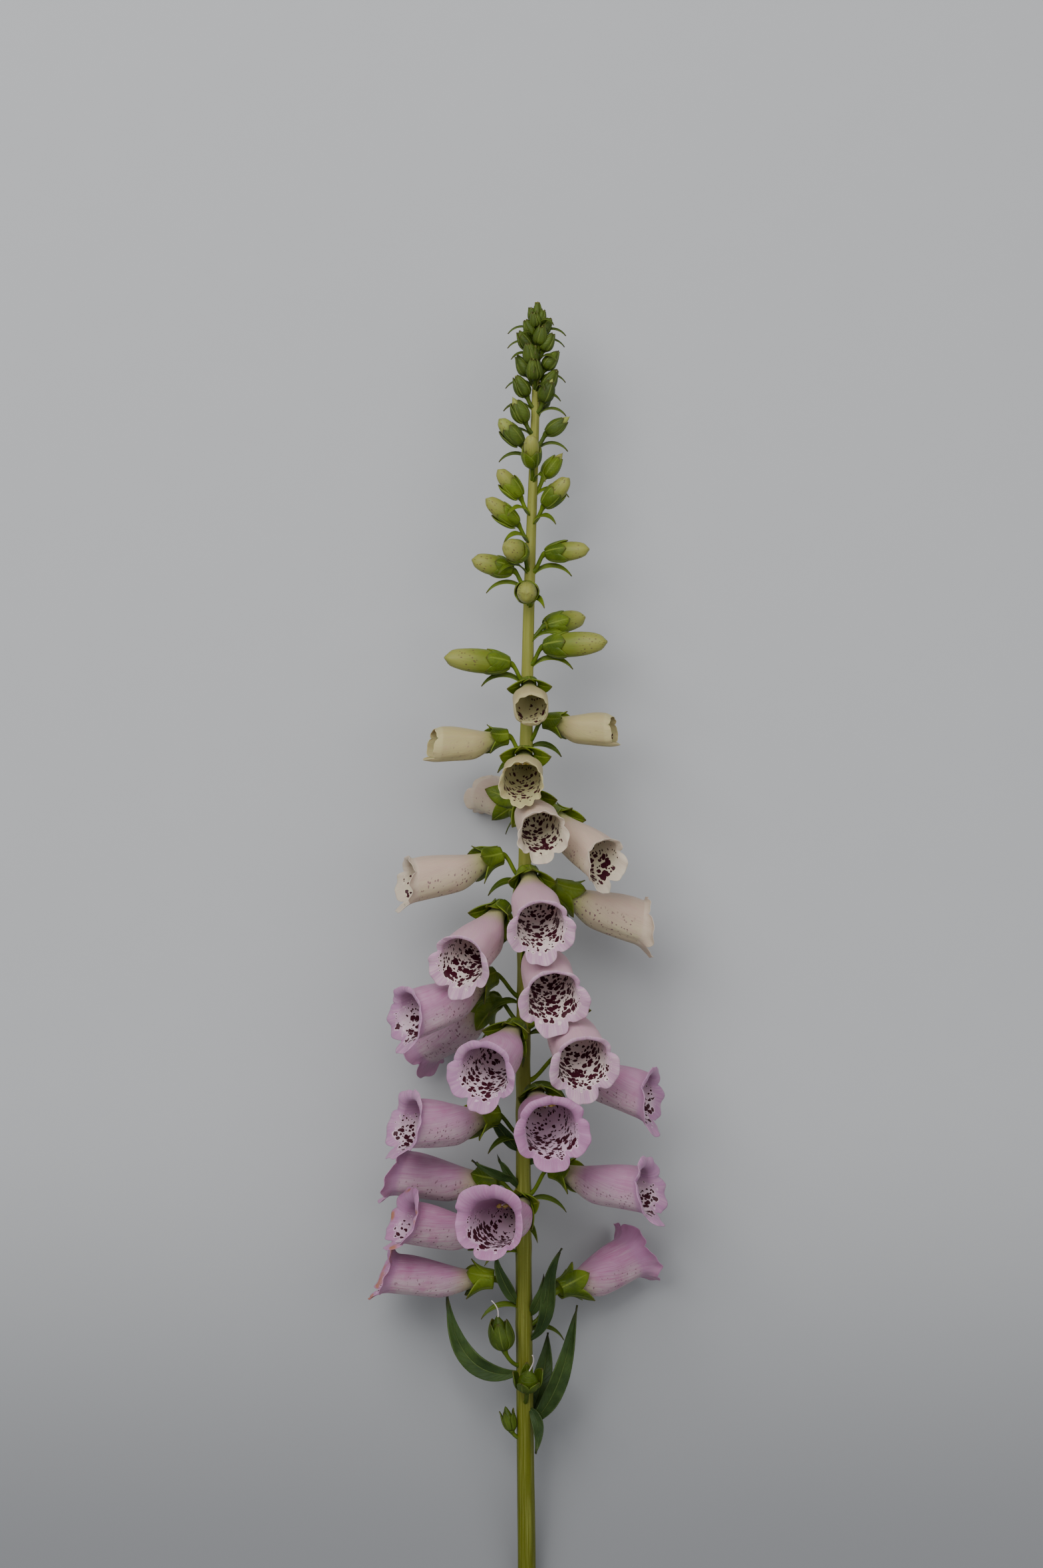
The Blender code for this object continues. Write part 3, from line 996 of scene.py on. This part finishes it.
@dataclass(frozen=True)
class Bell:
    """The tube and lobes of one open flower. Lengths in mm, bends in degrees."""

    length: float
    width: float
    flare: float
    lip: float
    low_bend: float = 34.0
    up_bend: float = 112.0
    low_lip: float = 11.0
    wing: float = 8.4
    ruffle: float = 0.75
    seed: int = 0

    def lobe(self, angle: float) -> float:
        """How far the limb reaches past the throat at this angle from the lower side.

        Args:
            angle: 0 on the lower side.

        Returns:
            The reach, in mm.
        """
        turn = abs(math.degrees(angle))
        low, wing, up = self.low_lip, self.wing, self.lip
        # Half lobes, from the low one to the notch on top: the tip's and the notch's angle, then each reach.
        halves = (
            (0.0, 36.0, low, 0.36 * (low + wing) / 2),
            (76.0, 36.0, wing, 0.36 * (low + wing) / 2),
            (76.0, 112.0, wing, 0.60 * up),
            (145.0, 112.0, up, 0.60 * up),
            (145.0, 180.0, up, 0.78 * up),
        )
        tip, notch, peak, edge = next((half for half in halves if turn < max(half[:2])), halves[-1])
        off = (turn - tip) / (notch - tip)
        size = self.width / 9.5
        round_off = 1 - math.sqrt(max(0.0, 1 - max(0.0, min(1.0, off)) ** 2.8))
        wobble = 1 + 0.07 * ripple(math.sin(angle) * 3.5, math.cos(angle) * 3.5, self.seed * 2.7)
        return size * wobble * (peak + (edge - peak) * round_off)

    def bend(self, angle: float) -> float:
        """How far the limb turns outwards from the tube there, in radians.

        Args:
            angle: 0 on the lower side.

        Returns:
            The bend.
        """
        share = ((1 - math.cos(angle)) / 2) ** 0.8
        uneven = 1 + 0.14 * ripple(math.cos(angle) * 1.3, math.sin(angle) * 1.3, self.seed * 1.9 + 4)
        return math.radians(self.low_bend + (self.up_bend - self.low_bend) * share) * self.flare * uneven

    def point(self, along: float, angle: float) -> Vector:
        """A point of the inner skin. along is 0 to 1 up the tube and 1 to 2 over the lobes.

        Args:
            along: 0 at the neck, 1 at the throat and 2 at the rim.
            angle: 0 on the lower side.

        Returns:
            The point, in the bell's own axes.
        """
        t = min(along, 1.0)
        down, across = math.cos(angle), math.sin(angle)
        side = NECK + (1 - NECK) * smooth((t - 0.04) / 0.54)
        lower = NECK + (1 - NECK) * smooth((t - 0.04) / 0.5) + 0.08 * math.sin(math.pi * t)
        upper = NECK + 0.64 * smooth((t - 0.1) / 0.9)
        square = 2.0 + 0.5 * between(0.2, 1.0, t)
        full = (abs(down) ** square + abs(across) ** square) ** (-1 / square)
        full *= 1 + 0.035 * math.exp(-(((abs(angle) - math.pi) / 0.16) ** 2)) * between(0.15, 0.5, t)
        full *= 1 - 0.035 * math.exp(-(((abs(angle) - 0.6) / 0.17) ** 2)) * between(0.35, 0.9, t)
        full *= 1 + 0.018 * ripple(across * 2.4, down * 2.4, t * 3 + self.seed)
        half_y = lower if down > 0 else upper
        x, y = self.width * side * across * full, -self.width * half_y * down * full
        z = t * self.length * (1 + 0.05 * t * down)
        if along > 1.0:
            u, bend = along - 1.0, self.bend(angle)
            part = u * bend
            arc = self.lobe(angle) / bend
            wave = self.ruffle * u**1.6 * ripple(across * 2.6, down * 2.6, self.seed * 3.3 + u)
            wave += 0.35 * self.ruffle * u**2.5 * math.sin(13 * angle + self.seed * 2.0)
            out = arc * (1 - math.cos(part)) + wave * math.cos(part)
            x += out * across
            y -= out * down
            z += (arc - wave) * math.sin(part)
        return Vector((x, y, z))

    def skin(self, z: float, angle: float) -> Vector:
        """The outer skin of the tube at this distance from the calyx's foot.

        Args:
            z: distance from the calyx's foot.
            angle: 0 on the lower side.

        Returns:
            The point, in the bell's own axes.
        """
        here = self.point(max(0.0, z - BELL_LIFT) / self.length, angle)
        radius = math.hypot(here.x, here.y)
        return here * ((radius + 0.55) / radius)

    def add(self, sculpt: Sculpt, place: Matrix) -> None:
        """Adds the petal tissue to a piece, closed round its rim, with its coordinates for the finish.

        It is spun with radius 2 for the outer skin and 1 for the inner one. Each point is then put in place.

        Args:
            sculpt: the piece.
            place: from the flower's own axes to the spike's.
        """
        tube_rows, limb_rows, steps = ((24, 18, 112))
        rows = [k / tube_rows for k in range(tube_rows)] + [1 + k / limb_rows for k in range(limb_rows + 1)]
        floor = 0.04
        outer = [(2.0, row) for row in rows]
        inner = [(1.0, row) for row in reversed(rows) if row > floor * 2] + [(1.0, floor)]
        verts = sculpt.spun([(0.0, 0.0), *outer, *inner, (0.0, floor)], steps)
        lift = place @ Matrix.Translation((0.0, 0.0, BELL_LIFT))
        nudge = 0.01  # the step over which the skin's slope is measured
        for vert in verts:
            row, angle = vert.co.z, math.atan2(vert.co.x, -vert.co.y)
            outside = math.hypot(vert.co.x, vert.co.y) > 1.5
            point = self.point(row, angle)
            if not off_axis(vert):
                point = Vector((0.0, 0.0, point.z))
            else:
                low = 1.0 - nudge if abs(row - 1.0) < 1e-4 else max(0.0, row - nudge)
                high = min(2.0, row + nudge)
                length_way = self.point(high, angle) - self.point(low, angle)
                round_way = self.point(row, angle + nudge) - self.point(row, angle - nudge)
                normal = round_way.cross(length_way).normalized()
                wall = PETAL_WALL - (PETAL_WALL - EDGE_WALL) * between(0.8, 2.0, row)
                point += normal * (SKIN_GAP + (wall if outside else 0.0))
            arc = angle * self.width * (0.55 + 0.45 * between(0.0, 0.9, row))
            run = row * self.length if row <= 1.0 else self.length + (row - 1.0) * self.lobe(angle)
            sculpt.mark(vert, (arc, run, self.seed), (row / 2, math.cos(angle), 0.0 if outside else 1.0))
            vert.co = lift @ point


@dataclass(frozen=True)
class Flower:
    """One flower: bell, calyx, pedicel, bract and stamens."""

    name: str
    perch: Perch
    bell: Bell
    stage: Stage
    sepals: SepalRing
    bract: Bract
    nodes: tuple[str, ...]
    seed: int

    def build(self) -> None:
        """Makes its pieces."""
        place = self.perch.place()
        petals = Sculpt()
        self.bell.add(petals, place)
        slot = "petal_cream" if self.stage in (Stage.CREAM, Stage.BLUSH) else "petal_pink"
        petals.piece(f"bell_{self.name}", self.stage.value, slot, *self.nodes[:1])
        green = Sculpt()
        self.sepals.add(green, self.perch, self.bell.skin, self.seed)
        green.piece(f"sepals_{self.name}", SEPAL, "calyx_green", *self.nodes[1:])
        leaf = Sculpt()
        self.bract.add(leaf, self.seed * 1.3)
        leaf.piece(f"bract_{self.name}", BRACT, "leaf_green")
        self.build_stamens(place)

    def build_stamens(self, place: Matrix) -> None:
        """Makes the four stamens and the style, which lie along the upper side of the tube.

        Args:
            place: from the flower's own axes to the spike's.
        """
        sculpt = Sculpt()
        lift = place @ Matrix.Translation((0.0, 0.0, BELL_LIFT))
        for turn, reach in ((150, 0.50), (168, 0.60), (-168, 0.60), (-150, 0.50), (-180, 0.74)):
            style = turn == -180
            angle = math.radians(turn)
            path = []
            for step in range(9):
                t = 0.06 + (reach - 0.06) * step / 8
                here = self.bell.point(t, angle)
                sink = 0.62 + 0.2 * math.sin(math.pi * step / 8)
                path.append(lift @ Vector((here.x * sink, here.y * sink, here.z)))
            sculpt.tube(path, [0.34 if style else 0.42] * 8 + [0.3], 6, self.seed)
            if style:
                continue
            tip, way = path[-1], (path[-1] - path[-2]).normalized()
            across = way.cross(lift.to_3x3() @ Vector((0, 1, 0))).normalized()
            for side in (-1, 1):
                head = [tip + across * side * (0.2 + 0.5 * k) + way * (0.25 * k) for k in range(5)]
                for vert in sculpt.tube(head, [0.3, 0.75, 0.9, 0.75, 0.3], 8, self.seed):
                    vert[sculpt.zone] = Vector((0.0, 0.0, 1.0))
        sculpt.piece(f"stamens_{self.name}", THREAD, "petal_cream")


# ---------------------------------------------------------------- buds and pods


@dataclass(frozen=True)
class Bud:
    """A closed bud: petals in a calyx on a pedicel, with its bract. cover is how far up the sepals reach."""

    name: str
    perch: Perch
    length: float
    width: float
    cover: float
    bract: Bract
    node: str | None
    seed: int

    def skin(self, z: float, angle: float) -> Vector:
        """The petals' skin at this distance from the foot.

        Args:
            z: distance from the foot.
            angle: 0 on the lower side.

        Returns:
            The point, in the bud's own axes.
        """
        s = max(0.02, min(1.0, z / self.length))
        shape = math.sqrt(max(0.0, 1 - (2 * s**0.9 - 1) ** 2)) ** 0.85
        if self.cover > 0.75:
            shape = math.sin(math.pi * s**0.72) ** 0.85 * (1 - 0.25 * s)
        radius = self.width * 0.9 * max(shape, 0.04)
        rough = ripple(math.sin(angle) * 2, math.cos(angle) * 2, self.seed + s * 4)
        seams = abs(math.sin(2 * angle + 0.5)) ** 9
        radius *= 1 + 0.06 * rough * between(0.5, 1.0, s)
        radius *= 1 + 0.05 * math.cos(2 * angle) - 0.06 * seams * between(0.55, 0.9, s)
        return ring_point(radius, angle, z)

    def build(self) -> None:
        """Makes its pieces."""
        big, green_tip = self.cover < 0.9, self.perch.height >= GREEN_TIP
        place = self.perch.place()
        rows, steps = (14, 24) if big else (8, 12)
        petals = Sculpt()
        for vert in petals.column(rows, steps, ends=False):
            share = (1 - math.cos(math.pi * vert.co.z / rows)) / 2
            angle = math.atan2(vert.co.x, -vert.co.y)
            z = share * self.length
            here = self.skin(z, angle) if off_axis(vert) else Vector((0.0, 0.0, z))
            if big and off_axis(vert):
                here.z -= self.width * 0.16 * between(0.86, 1.0, share) * (1 + math.cos(2 * angle)) / 2
            petals.mark(vert, (angle * self.width, z, self.seed), (share, 0.0, 0.0))
            vert.co = place @ here
        petals.piece(f"bud_petals_{self.name}", GREEN_BUD if green_tip else CLOSED, "bud_green")
        green = Sculpt()
        spread, curl = (0.15, -0.15) if big else (0.0, 0.25)
        ring = SepalRing(self.length * self.cover, self.width * 0.94, spread, 0.22, curl)
        ring.add(green, self.perch, self.skin, self.seed, int(big))
        self.bract.add(green, self.seed * 0.7)
        green.piece(f"bud_sepals_{self.name}", YOUNG if green_tip else SEPAL, "calyx_green", self.node)


@dataclass(frozen=True)
class Pod:
    """A young seed pod: a pointed capsule on its spread sepals, with the dry style still on it."""

    name: str
    perch: Perch
    length: float
    width: float
    spread: float
    style: float
    node: str | None
    seed: int

    def skin(self, z: float, angle: float) -> Vector:
        """The capsule's skin, pinched along its two seams.

        Args:
            z: distance from the foot.
            angle: 0 on the lower side.

        Returns:
            The point, in the pod's own axes.
        """
        s = max(0.02, min(1.0, z / self.length))
        radius = self.width * math.sin(math.pi * s**0.75) ** 0.8 * (1 - 0.35 * s) * 1.1 + 0.12
        radius *= 1 - 0.10 * abs(math.cos(angle)) ** 12
        return ring_point(radius, angle, z)

    def build(self) -> None:
        """Makes its pieces."""
        place = self.perch.place()
        rows, steps = 14, 24
        capsule = Sculpt()
        for vert in capsule.column(rows, steps, ends=False):
            share = vert.co.z / rows
            angle = math.atan2(vert.co.x, -vert.co.y)
            z = share * self.length
            capsule.mark(vert, (angle, share, self.seed), (share * 0.8, 0.5, 0.0))
            vert.co = place @ (self.skin(z, angle) if off_axis(vert) else Vector((0.0, 0.0, z)))
        ring = SepalRing(self.length * 0.9, self.width * 0.72, self.spread, 0.3)
        ring.add(capsule, self.perch, self.skin, self.seed)
        capsule.piece(f"pod_{self.name}", BRACT, "calyx_green", self.node)
        if self.style:
            thread = Sculpt()
            shares = [step / 12 for step in range(13)]
            top = self.length * 0.9
            bow = [Vector((1.6 * math.sin(2.6 * s), -2.2 * s * s, top + self.style * s)) for s in shares]
            thread.tube([place @ point for point in bow], [0.32 - 0.12 * s for s in shares], 8, self.seed)
            thread.piece(f"pod_style_{self.name}", THREAD, "petal_cream")


# ---------------------------------------------------------------- stem and leaves


@dataclass(frozen=True)
class Stem:
    """The main stem, with shallow ribs and a slight swelling at every pedicel."""

    joints: tuple[float, ...]
    ribs: int = 5
    rib_depth: float = 0.045

    def build(self) -> None:
        """Makes the stem, from its flat cut to its tip."""
        rings, sides = ((260, 40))
        sculpt = Sculpt()
        for vert in sculpt.column(rings, sides):
            height = SPIKE_LENGTH * vert.co.z / rings
            rim = off_axis(vert)
            cut = vert.co.z == 0 and not rim
            angle = math.atan2(vert.co.y, vert.co.x)
            radius = stem_radius(height) * (1 + 0.16 * between(250, 430, height))
            swell = sum(math.exp(-(((height - joint) / 3.5) ** 2)) for joint in self.joints)
            radius *= 1 + 0.07 * min(1.0, swell) + 0.012 * ripple(angle, height * 0.05, 1.0)
            ribbing = math.cos(self.ribs * angle + 0.012 * height) * between(10, 40, height)
            radius *= 1 + self.rib_depth * ribbing
            if height < 1.0:
                radius *= 0.93
            offset = Vector((math.cos(angle), 0.0, math.sin(angle))) * radius if rim else Vector()
            sculpt.mark(vert, (angle * 3.4, height, 0.0), (height / SPIKE_LENGTH, 0.0, 1.0 if cut else 0.0))
            vert.co = stem_point(height) + offset
        sculpt.piece("stalk", STALK, "stem_green", "stem")


@dataclass(frozen=True)
class Leaf:
    """A stem leaf along a bent spine. bends are three points of it, in mm from the stem's line."""

    name: str
    height: float
    side: float
    bends: tuple[tuple[float, float, float], ...]
    half_width: float
    seed: int
    wave: float = 0.5
    fold: float = 0.35
    teeth: int = 16
    in_cad: bool = False

    def build(self) -> None:
        """Makes the blade, folded a little along its midrib, with a wavy, finely toothed edge."""
        base = stem_point(self.height)
        root = base + outward(self.side) * stem_radius(self.height) * 0.8
        bends = [base + Vector(bend) for bend in self.bends]
        sculpt = Sculpt()

        def shape(off: float, share: float) -> Vector:
            """The point of the blade at this place across and along it."""
            s = share
            spine, way = spine_of((root, *bends), s)
            flat = way.cross(Vector((0.0, 0.0, 1.0))).normalized()
            up = flat.cross(way)
            width = self.half_width * math.sin(math.pi * (0.05 + 0.95 * s**0.95)) ** 1.05
            width += 0.25 * (1 - s) + 0.05
            tooth = abs((s * self.teeth) % 1.0 - 0.5) * 0.5
            width *= 1 + 0.06 * tooth * abs(off) ** 3
            rise = self.fold * width * abs(off) ** 1.3
            rise += self.wave * off * math.sin(s * 11 + self.seed) * abs(off) * between(0.1, 0.4, s)
            rise -= 0.25 * math.exp(-((off / 0.12) ** 2))
            return spine + flat * off * width + up * rise

        sculpt.blade(14, 48, shape, 0.45, self.seed)
        node = f"leaf_{self.name}" if self.in_cad else None
        sculpt.piece(f"leaf_blade_{self.name}", LEAF, "leaf_green", node)


# ---------------------------------------------------------------- the spike


def flowers() -> list[Flower]:
    """Every flower with a mouth, from the top of the spike down.

    Returns:
        The flowers, three half-open ones first.
    """
    cream, blush, pale, pink, deep = Stage.CREAM, Stage.BLUSH, Stage.PALE, Stage.PINK, Stage.DEEP
    opening = [
        (Perch(389.0, 5, 7.0, 6, 3, 30), Bell(19, 6.4, 1.0, 3.5, -80, 14, 8.5, 4.0, 0.25), cream),
        (Perch(374.0, 62, 7.5, 8, 76, 8), Bell(25, 6.2, 1.0, 4.5, -24, -22, 8.0, 5.0, 0.25), cream),
        (Perch(367.5, -65, 8.0, 8, -76, 6), Bell(27, 6.6, 1.0, 4.5, -20, -18, 9.0, 5.5, 0.25), cream),
    ]
    open_ones = [
        (Perch(360.5, -5, 8.5, 8, -2, 22), Bell(26, 7.2, 0.35, 4.5), cream),
        (Perch(341.0, -165, 8.5, 6, -151, -6), Bell(23.6, 7.0, 0.49, 5.0), blush),
        (Perch(344.3, 5, 9.5, 9, 11, 28), Bell(29, 7.8, 0.56, 5.0), blush),
        (Perch(338.0, 70, 10.0, 8, 44.5, 33.5), Bell(33, 8.0, 0.63, 4.0), blush),
        (Perch(319.4, -75, 9.5, 9, -74.5, 15), Bell(36, 8.2, 0.77, 4.5), blush),
        (Perch(306.5, 88, 11.5, 8, 99, 22), Bell(36, 8.6, 1.05, 4.5), blush),
        (Perch(312.4, 5, 12.0, 9, 9, 31), Bell(36, 9.0, 1.12, 3.4), pale),
        (Perch(298.7, -52, 11.0, 10, -30, 32), Bell(36, 9.0, 1.12, 3.6), pale),
        (Perch(270.8, -72, 12.5, 9, -62, 22), Bell(38, 9.2, 1.19, 5.5), pink),
        (Perch(260.6, -110, 11.5, 9, -128, 26), Bell(37, 9.0, 1.26, 5.5), pink),
        (Perch(288.4, 25, 11.5, 9, 12, 38), Bell(36, 9.4, 1.19, 3.6), pale),
        (Perch(250.6, -15, 11.0, 9, -22, 25), Bell(35, 9.4, 1.25, 6.0), pink),
        (Perch(261.4, 58, 16.5, 12, 18, 37), Bell(36, 9.6, 1.25, 3.8), pale),
        (Perch(237.6, 82, 15.0, 10, 73, 23), Bell(36, 8.8, 1.26, 7.0, 34.0, 106.0, 12.0, 9.6), pink),
        (Perch(213.9, -70, 11.0, 8, -64, 3), Bell(36, 9.4, 1.30, 7.0), pink),
        (Perch(223.6, 20, 12.5, 9, 11, 19), Bell(34, 9.8, 1.30, 6.5), deep),
        (Perch(192.0, 72, 11.5, 11, 67, 10), Bell(38, 8.6, 1.33, 9.0, 34.0, 106.0, 12.0, 10.0), pink),
        (Perch(186.0, -104, 10.0, 6, -99, -4.5), Bell(37, 8.8, 1.40, 10.5, 36.0, 100.0, 11.0, 11.0), pink),
        (Perch(178.0, 5, 10.0, 8, -20, 6), Bell(36, 9.6, 1.15, 10.5, 46.0, 88.0, 8.0, 8.0), deep),
        (Perch(165.5, -80, 9.0, 6, -70, -8), Bell(37, 8.2, 1.33, 11.0, 36.0, 104.0, 11.0, 10.0), Stage.AGED),
        (Perch(145.8, -98, 12.0, 9, -86, -4), Bell(39, 7.6, 1.26, 11.5, 36.0, 104.0, 12.0, 10.0), Stage.AGED),
        (Perch(141.0, 99, 14.0, 14, 116.8, -20), Bell(31, 8.6, 1.05, 11.5, 52.0, 84.0, 12.0, 11.5), deep),
    ]
    made = []
    for number, (perch, bell, stage) in enumerate(opening + open_ones):
        young = number < len(opening)
        name = f"opening_{number + 1}" if young else f"{number - 2:02d}"
        nodes = (f"opening_flower_{number + 1}",) if young else (f"corolla_{name}", f"calyx_{name}")
        bell = replace(bell, seed=number + 1)
        sepals = SepalRing(10.0, 3.7, 1.4) if young else SepalRing(13.0, 5.2, 2.8)
        root = perch.height - perch.rise - 3.0
        leaf = Bract(root, perch.side + 14, 13.0 if young else 15.0, 1.5, 0.35, 0.5)
        made.append(Flower(name, perch, bell, stage, sepals, leaf, nodes, number + 1))
    return made


def buds() -> list[Bud]:
    """Every closed bud, from the lowest up.

    Returns:
        The buds: first the five that are nodes of their own.
    """
    own = [
        (Perch(412.4, 95, 6.5, 5, 112, -12), 18.5, 4.6, 0.55),
        (Perch(403.8, 60, 7.0, 7, 72, -4), 27.5, 5.4, 0.42),
        (Perch(396.9, -65, 7.5, 7, -76, -5), 28.0, 5.3, 0.40),
        (Perch(426.0, -4, 6.5, 5, -4, 4), 13.5, 4.8, 0.5),
        (Perch(434.8, -70, 7.0, 7, -78, -14), 18.0, 4.5, 0.5),
    ]
    carried = [
        (Perch(441.6, 66, 6.5, 7, 72, -5), 19.0, 4.2, 0.55),
        (Perch(441.0, -25, 6.5, 6, -30, -12), 14.5, 4.9, 0.5),
        (Perch(453.5, -65, 6.0, 6, -66, -36), 17.5, 3.9, 0.6),
        (Perch(461.0, 60, 5.5, 6, 62, -44), 16.0, 4.0, 0.6),
        (Perch(464.5, -62, 5.5, 6, -64, -48), 15.0, 3.7, 0.65),
        (Perch(472.8, 120, 5.0, 6, 105, -52), 13.5, 3.5, 0.8),
        (Perch(477.0, -5, 5.0, 5, -4, -52), 15.0, 3.9, 0.6),
        (Perch(486.0, -72, 5.5, 5, -74, -48), 14.0, 3.5, 0.7),
        (Perch(490.3, 70, 5.0, 5, 72, -34), 12.5, 3.2, 0.8),
        (Perch(495.0, -60, 4.5, 4, -56, -58), 12.0, 3.4, 0.8),
        (Perch(503.3, 50, 4.0, 4, 48, -60), 10.5, 3.4, 0.92),
        (Perch(505.5, -62, 4.0, 4, -64, -58), 10.0, 3.2, 0.97),
        (Perch(501.0, 150, 4.0, 4, 150, -58), 10.5, 3.2, 0.97),
        (Perch(508.0, 74, 3.4, 3, 74, -56), 9.8, 3.2, 1.0),
        (Perch(512.0, -8, 3.2, 3, -8, -62), 9.6, 3.2, 1.0),
        (Perch(514.0, -78, 3.2, 3, -78, -58), 9.2, 3.0, 1.0),
        (Perch(516.5, 80, 3.4, 3, 80, -52), 9.2, 3.1, 1.0),
        (Perch(516.0, 190, 3.0, 3, 190, -60), 9.0, 3.0, 1.0),
        (Perch(519.0, -28, 3.0, 3, -28, -60), 9.0, 3.1, 1.0),
        (Perch(524.0, 64, 2.8, 3, 64, -54), 8.6, 2.8, 1.0),
        (Perch(525.0, -82, 2.8, 3, -82, -56), 8.2, 2.7, 1.0),
        (Perch(526.5, 20, 2.6, 3, 20, -62), 8.4, 2.7, 1.0),
        (Perch(527.0, 170, 2.6, 3, 170, -60), 8.0, 2.6, 1.0),
        (Perch(530.0, -60, 2.2, 3, -60, -62), 7.4, 2.3, 1.0),
        (Perch(531.0, 84, 2.2, 3, 84, -60), 7.2, 2.3, 1.0),
        (Perch(533.5, -14, 1.9, 3, -14, -66), 6.6, 2.1, 1.0),
        (Perch(535.0, 60, 1.4, 3, 60, -72), 6.2, 1.9, 1.0),
        (Perch(536.0, -70, 1.2, 3, -70, -76), 6.0, 1.7, 1.0),
        (Perch(537.5, 10, 0.8, 2, 10, -82), 6.4, 1.8, 1.0),
    ]
    made = []
    for number, (perch, length, width, cover) in enumerate(own + carried):
        node = f"bud_{number + 1}" if number < len(own) else None
        grown = between(540.0, 400.0, perch.height)
        root, side = perch.height - perch.rise - 1.5, perch.side + (24 if number % 2 else -22)
        bract = Bract(root, side, 11.0 + 6.0 * grown, 0.6 + 0.9 * grown, 0.62, 0.40)
        made.append(Bud(f"{number + 1:02d}", perch, length, width, cover, bract, node, 40 + number))
    return made


def pods() -> list[Pod]:
    """The young seed pods below the lowest flowers.

    Returns:
        The pods.
    """
    return [
        Pod("left", Perch(117.0, -58, 9.5, 7, -40, -72), 15.5, 4.6, 1.4, 9.0, "seed_pod_left", 81),
        Pod("front", Perch(101.0, 8, 8.0, 6, 4, -48), 12.0, 4.4, 3.6, 13.0, "seed_pod_front", 82),
        Pod("low", Perch(82.5, -75, 5.6, 3, -62, -74), 11.0, 2.3, 1.6, 0.0, None, 83),
    ]


def leaves() -> list[Leaf]:
    """The leaves under the flowers.

    Returns:
        The leaves, with the larger bracts among the flowers.
    """
    return [
        Leaf("left", 107.0, -88, ((-17, -3, 3), (-30, 7, 6), (-31.5, 33.4, 4)), 4.0, 3, 0.9, in_cad=True),
        Leaf("right_low", 86.0, 70, ((12, 8, 5), (17, 24, 11), (21.3, 49.6, 12)), 3.7, 5, 1.1, in_cad=True),
        Leaf("right_high", 121.0, 75, ((14, 9, 5), (6, 26, 11), (15.4, 38.6, 13)), 2.9, 8, 1.0, in_cad=True),
        Leaf("right_back", 88.0, 128, ((6, 10, -4), (9, 20, -7), (9.5, 34, -8)), 3.8, 11, in_cad=True),
        Leaf("low_front", 92.0, 50, ((5, -2, 4), (7, -9, 5), (4.5, -18, 4)), 2.2, 14),
        Leaf("bract_right", 193.7, 80, ((10, 5, 4), (17, 14, 6), (7, 23.2, 7)), 2.3, 21),
        Leaf("bract_left", 136.4, -80, ((-6, 3, 4), (-10, 11, 6), (-12, 20.5, 6)), 2.2, 22),
        Leaf("bract_upper", 199.3, -75, ((-5, 3, 4), (-10, 9, 6), (-14.6, 16.2, 7)), 2.2, 23),
        Leaf("bract_curled", 187.0, -85, ((-8, 1, 8), (-14, 4, 12), (-21, 9, 12)), 1.6, 24),
        Leaf("bract_small", 184.0, -60, ((-5, 4, 6), (-8, 8, 7), (-10, 12, 7)), 1.4, 25),
        Leaf("bract_low", 131.0, 70, ((5, 4, 6), (8, 10, 8), (8, 16, 8)), 1.9, 26),
    ]


# ---------------------------------------------------------------- the room


@dataclass(frozen=True)
class Studio:
    """A pale floor, soft lights and a camera that looks straight down on the spike."""

    camera_height: float = 1.81
    camera_x: float = 0.0023
    camera_y: float = 0.0762
    lens: float = 100.0
    sensor: float = 36.0

    def build(self) -> None:
        """Makes them."""
        self.build_floor()
        self.build_light("key", (-0.5, 0.80, 1.35), 1.1, 21.5)
        self.build_light("fill", (0.80, 0.45, 1.6), 1.5, 11.0)
        self.build_light("low", (-0.3, -1.3, 1.5), 1.4, 2.5)
        world = bpy.data.worlds.new("room")
        world.use_nodes = True
        sky = world.node_tree.nodes["Background"].inputs
        sky["Color"].default_value = (0.80, 0.84, 0.90, 1.0)
        sky["Strength"].default_value = 0.36
        bpy.context.scene.world = world
        data = bpy.data.cameras.new("camera")
        data.lens = self.lens
        data.sensor_fit = "VERTICAL"
        data.sensor_height = self.sensor
        data.clip_start = 0.05
        camera = bpy.data.objects.new("camera", data)
        camera.location = (self.camera_x, self.camera_y, self.camera_height)
        bpy.context.scene.collection.objects.link(camera)
        bpy.context.scene.camera = camera

    def build_floor(self) -> None:
        """A wide matt sheet that the spike lies on, darkened towards the bottom of the frame by painted
        shade.
        """
        mesh = bmesh.new()
        bmesh.ops.create_grid(mesh, x_segments=1, y_segments=1, size=4.0)
        data = bpy.data.meshes.new("floor")
        mesh.to_mesh(data)
        mesh.free()
        paint = Paint("floor_paper_painted_shade")
        grain = paint.noise(paint.object_space(), 60.0)
        pale = paint.mix(grain, (0.455, 0.458, 0.465), (0.465, 0.468, 0.475))
        # Painted shade: the floor colour darkens towards low y, the bottom of the frame, standing in for the
        # light falling off there.
        foot = paint.split(paint.object_space())[1].step(-0.04, -0.26)
        floor_tone_with_painted_shade = paint.mix(foot, pale, (0.245, 0.248, 0.256))
        paint.set(Base_Color=floor_tone_with_painted_shade, Roughness=0.85, Specular_IOR_Level=0.2)
        data.materials.append(paint.material)
        floor = bpy.data.objects.new("floor", data)
        bpy.context.scene.collection.objects.link(floor)

    def build_light(self, name: str, place: tuple[float, float, float], size: float, power: float) -> None:
        """A square soft light aimed at the spike.

        Args:
            name: the light's name.
            place: where it stands, in metres.
            size: its side, in metres.
            power: its power, in watts.
        """
        data = bpy.data.lights.new(name, "AREA")
        data.size = size
        data.energy = power
        light = bpy.data.objects.new(name, data)
        light.location = place
        light.rotation_euler = (-Vector(place)).to_track_quat("-Z", "Y").to_euler()
        bpy.context.scene.collection.objects.link(light)


def main() -> None:
    """Builds the spike and the room."""
    logging.basicConfig(level=logging.INFO, format="%(message)s")
    bells = flowers()
    stem = Stem(tuple(flower.perch.height - flower.perch.rise for flower in bells))
    for part in (stem, *bells, *buds(), *pods(), *leaves(), Studio()):
        part.build()


if __name__ == "__main__":
    main()
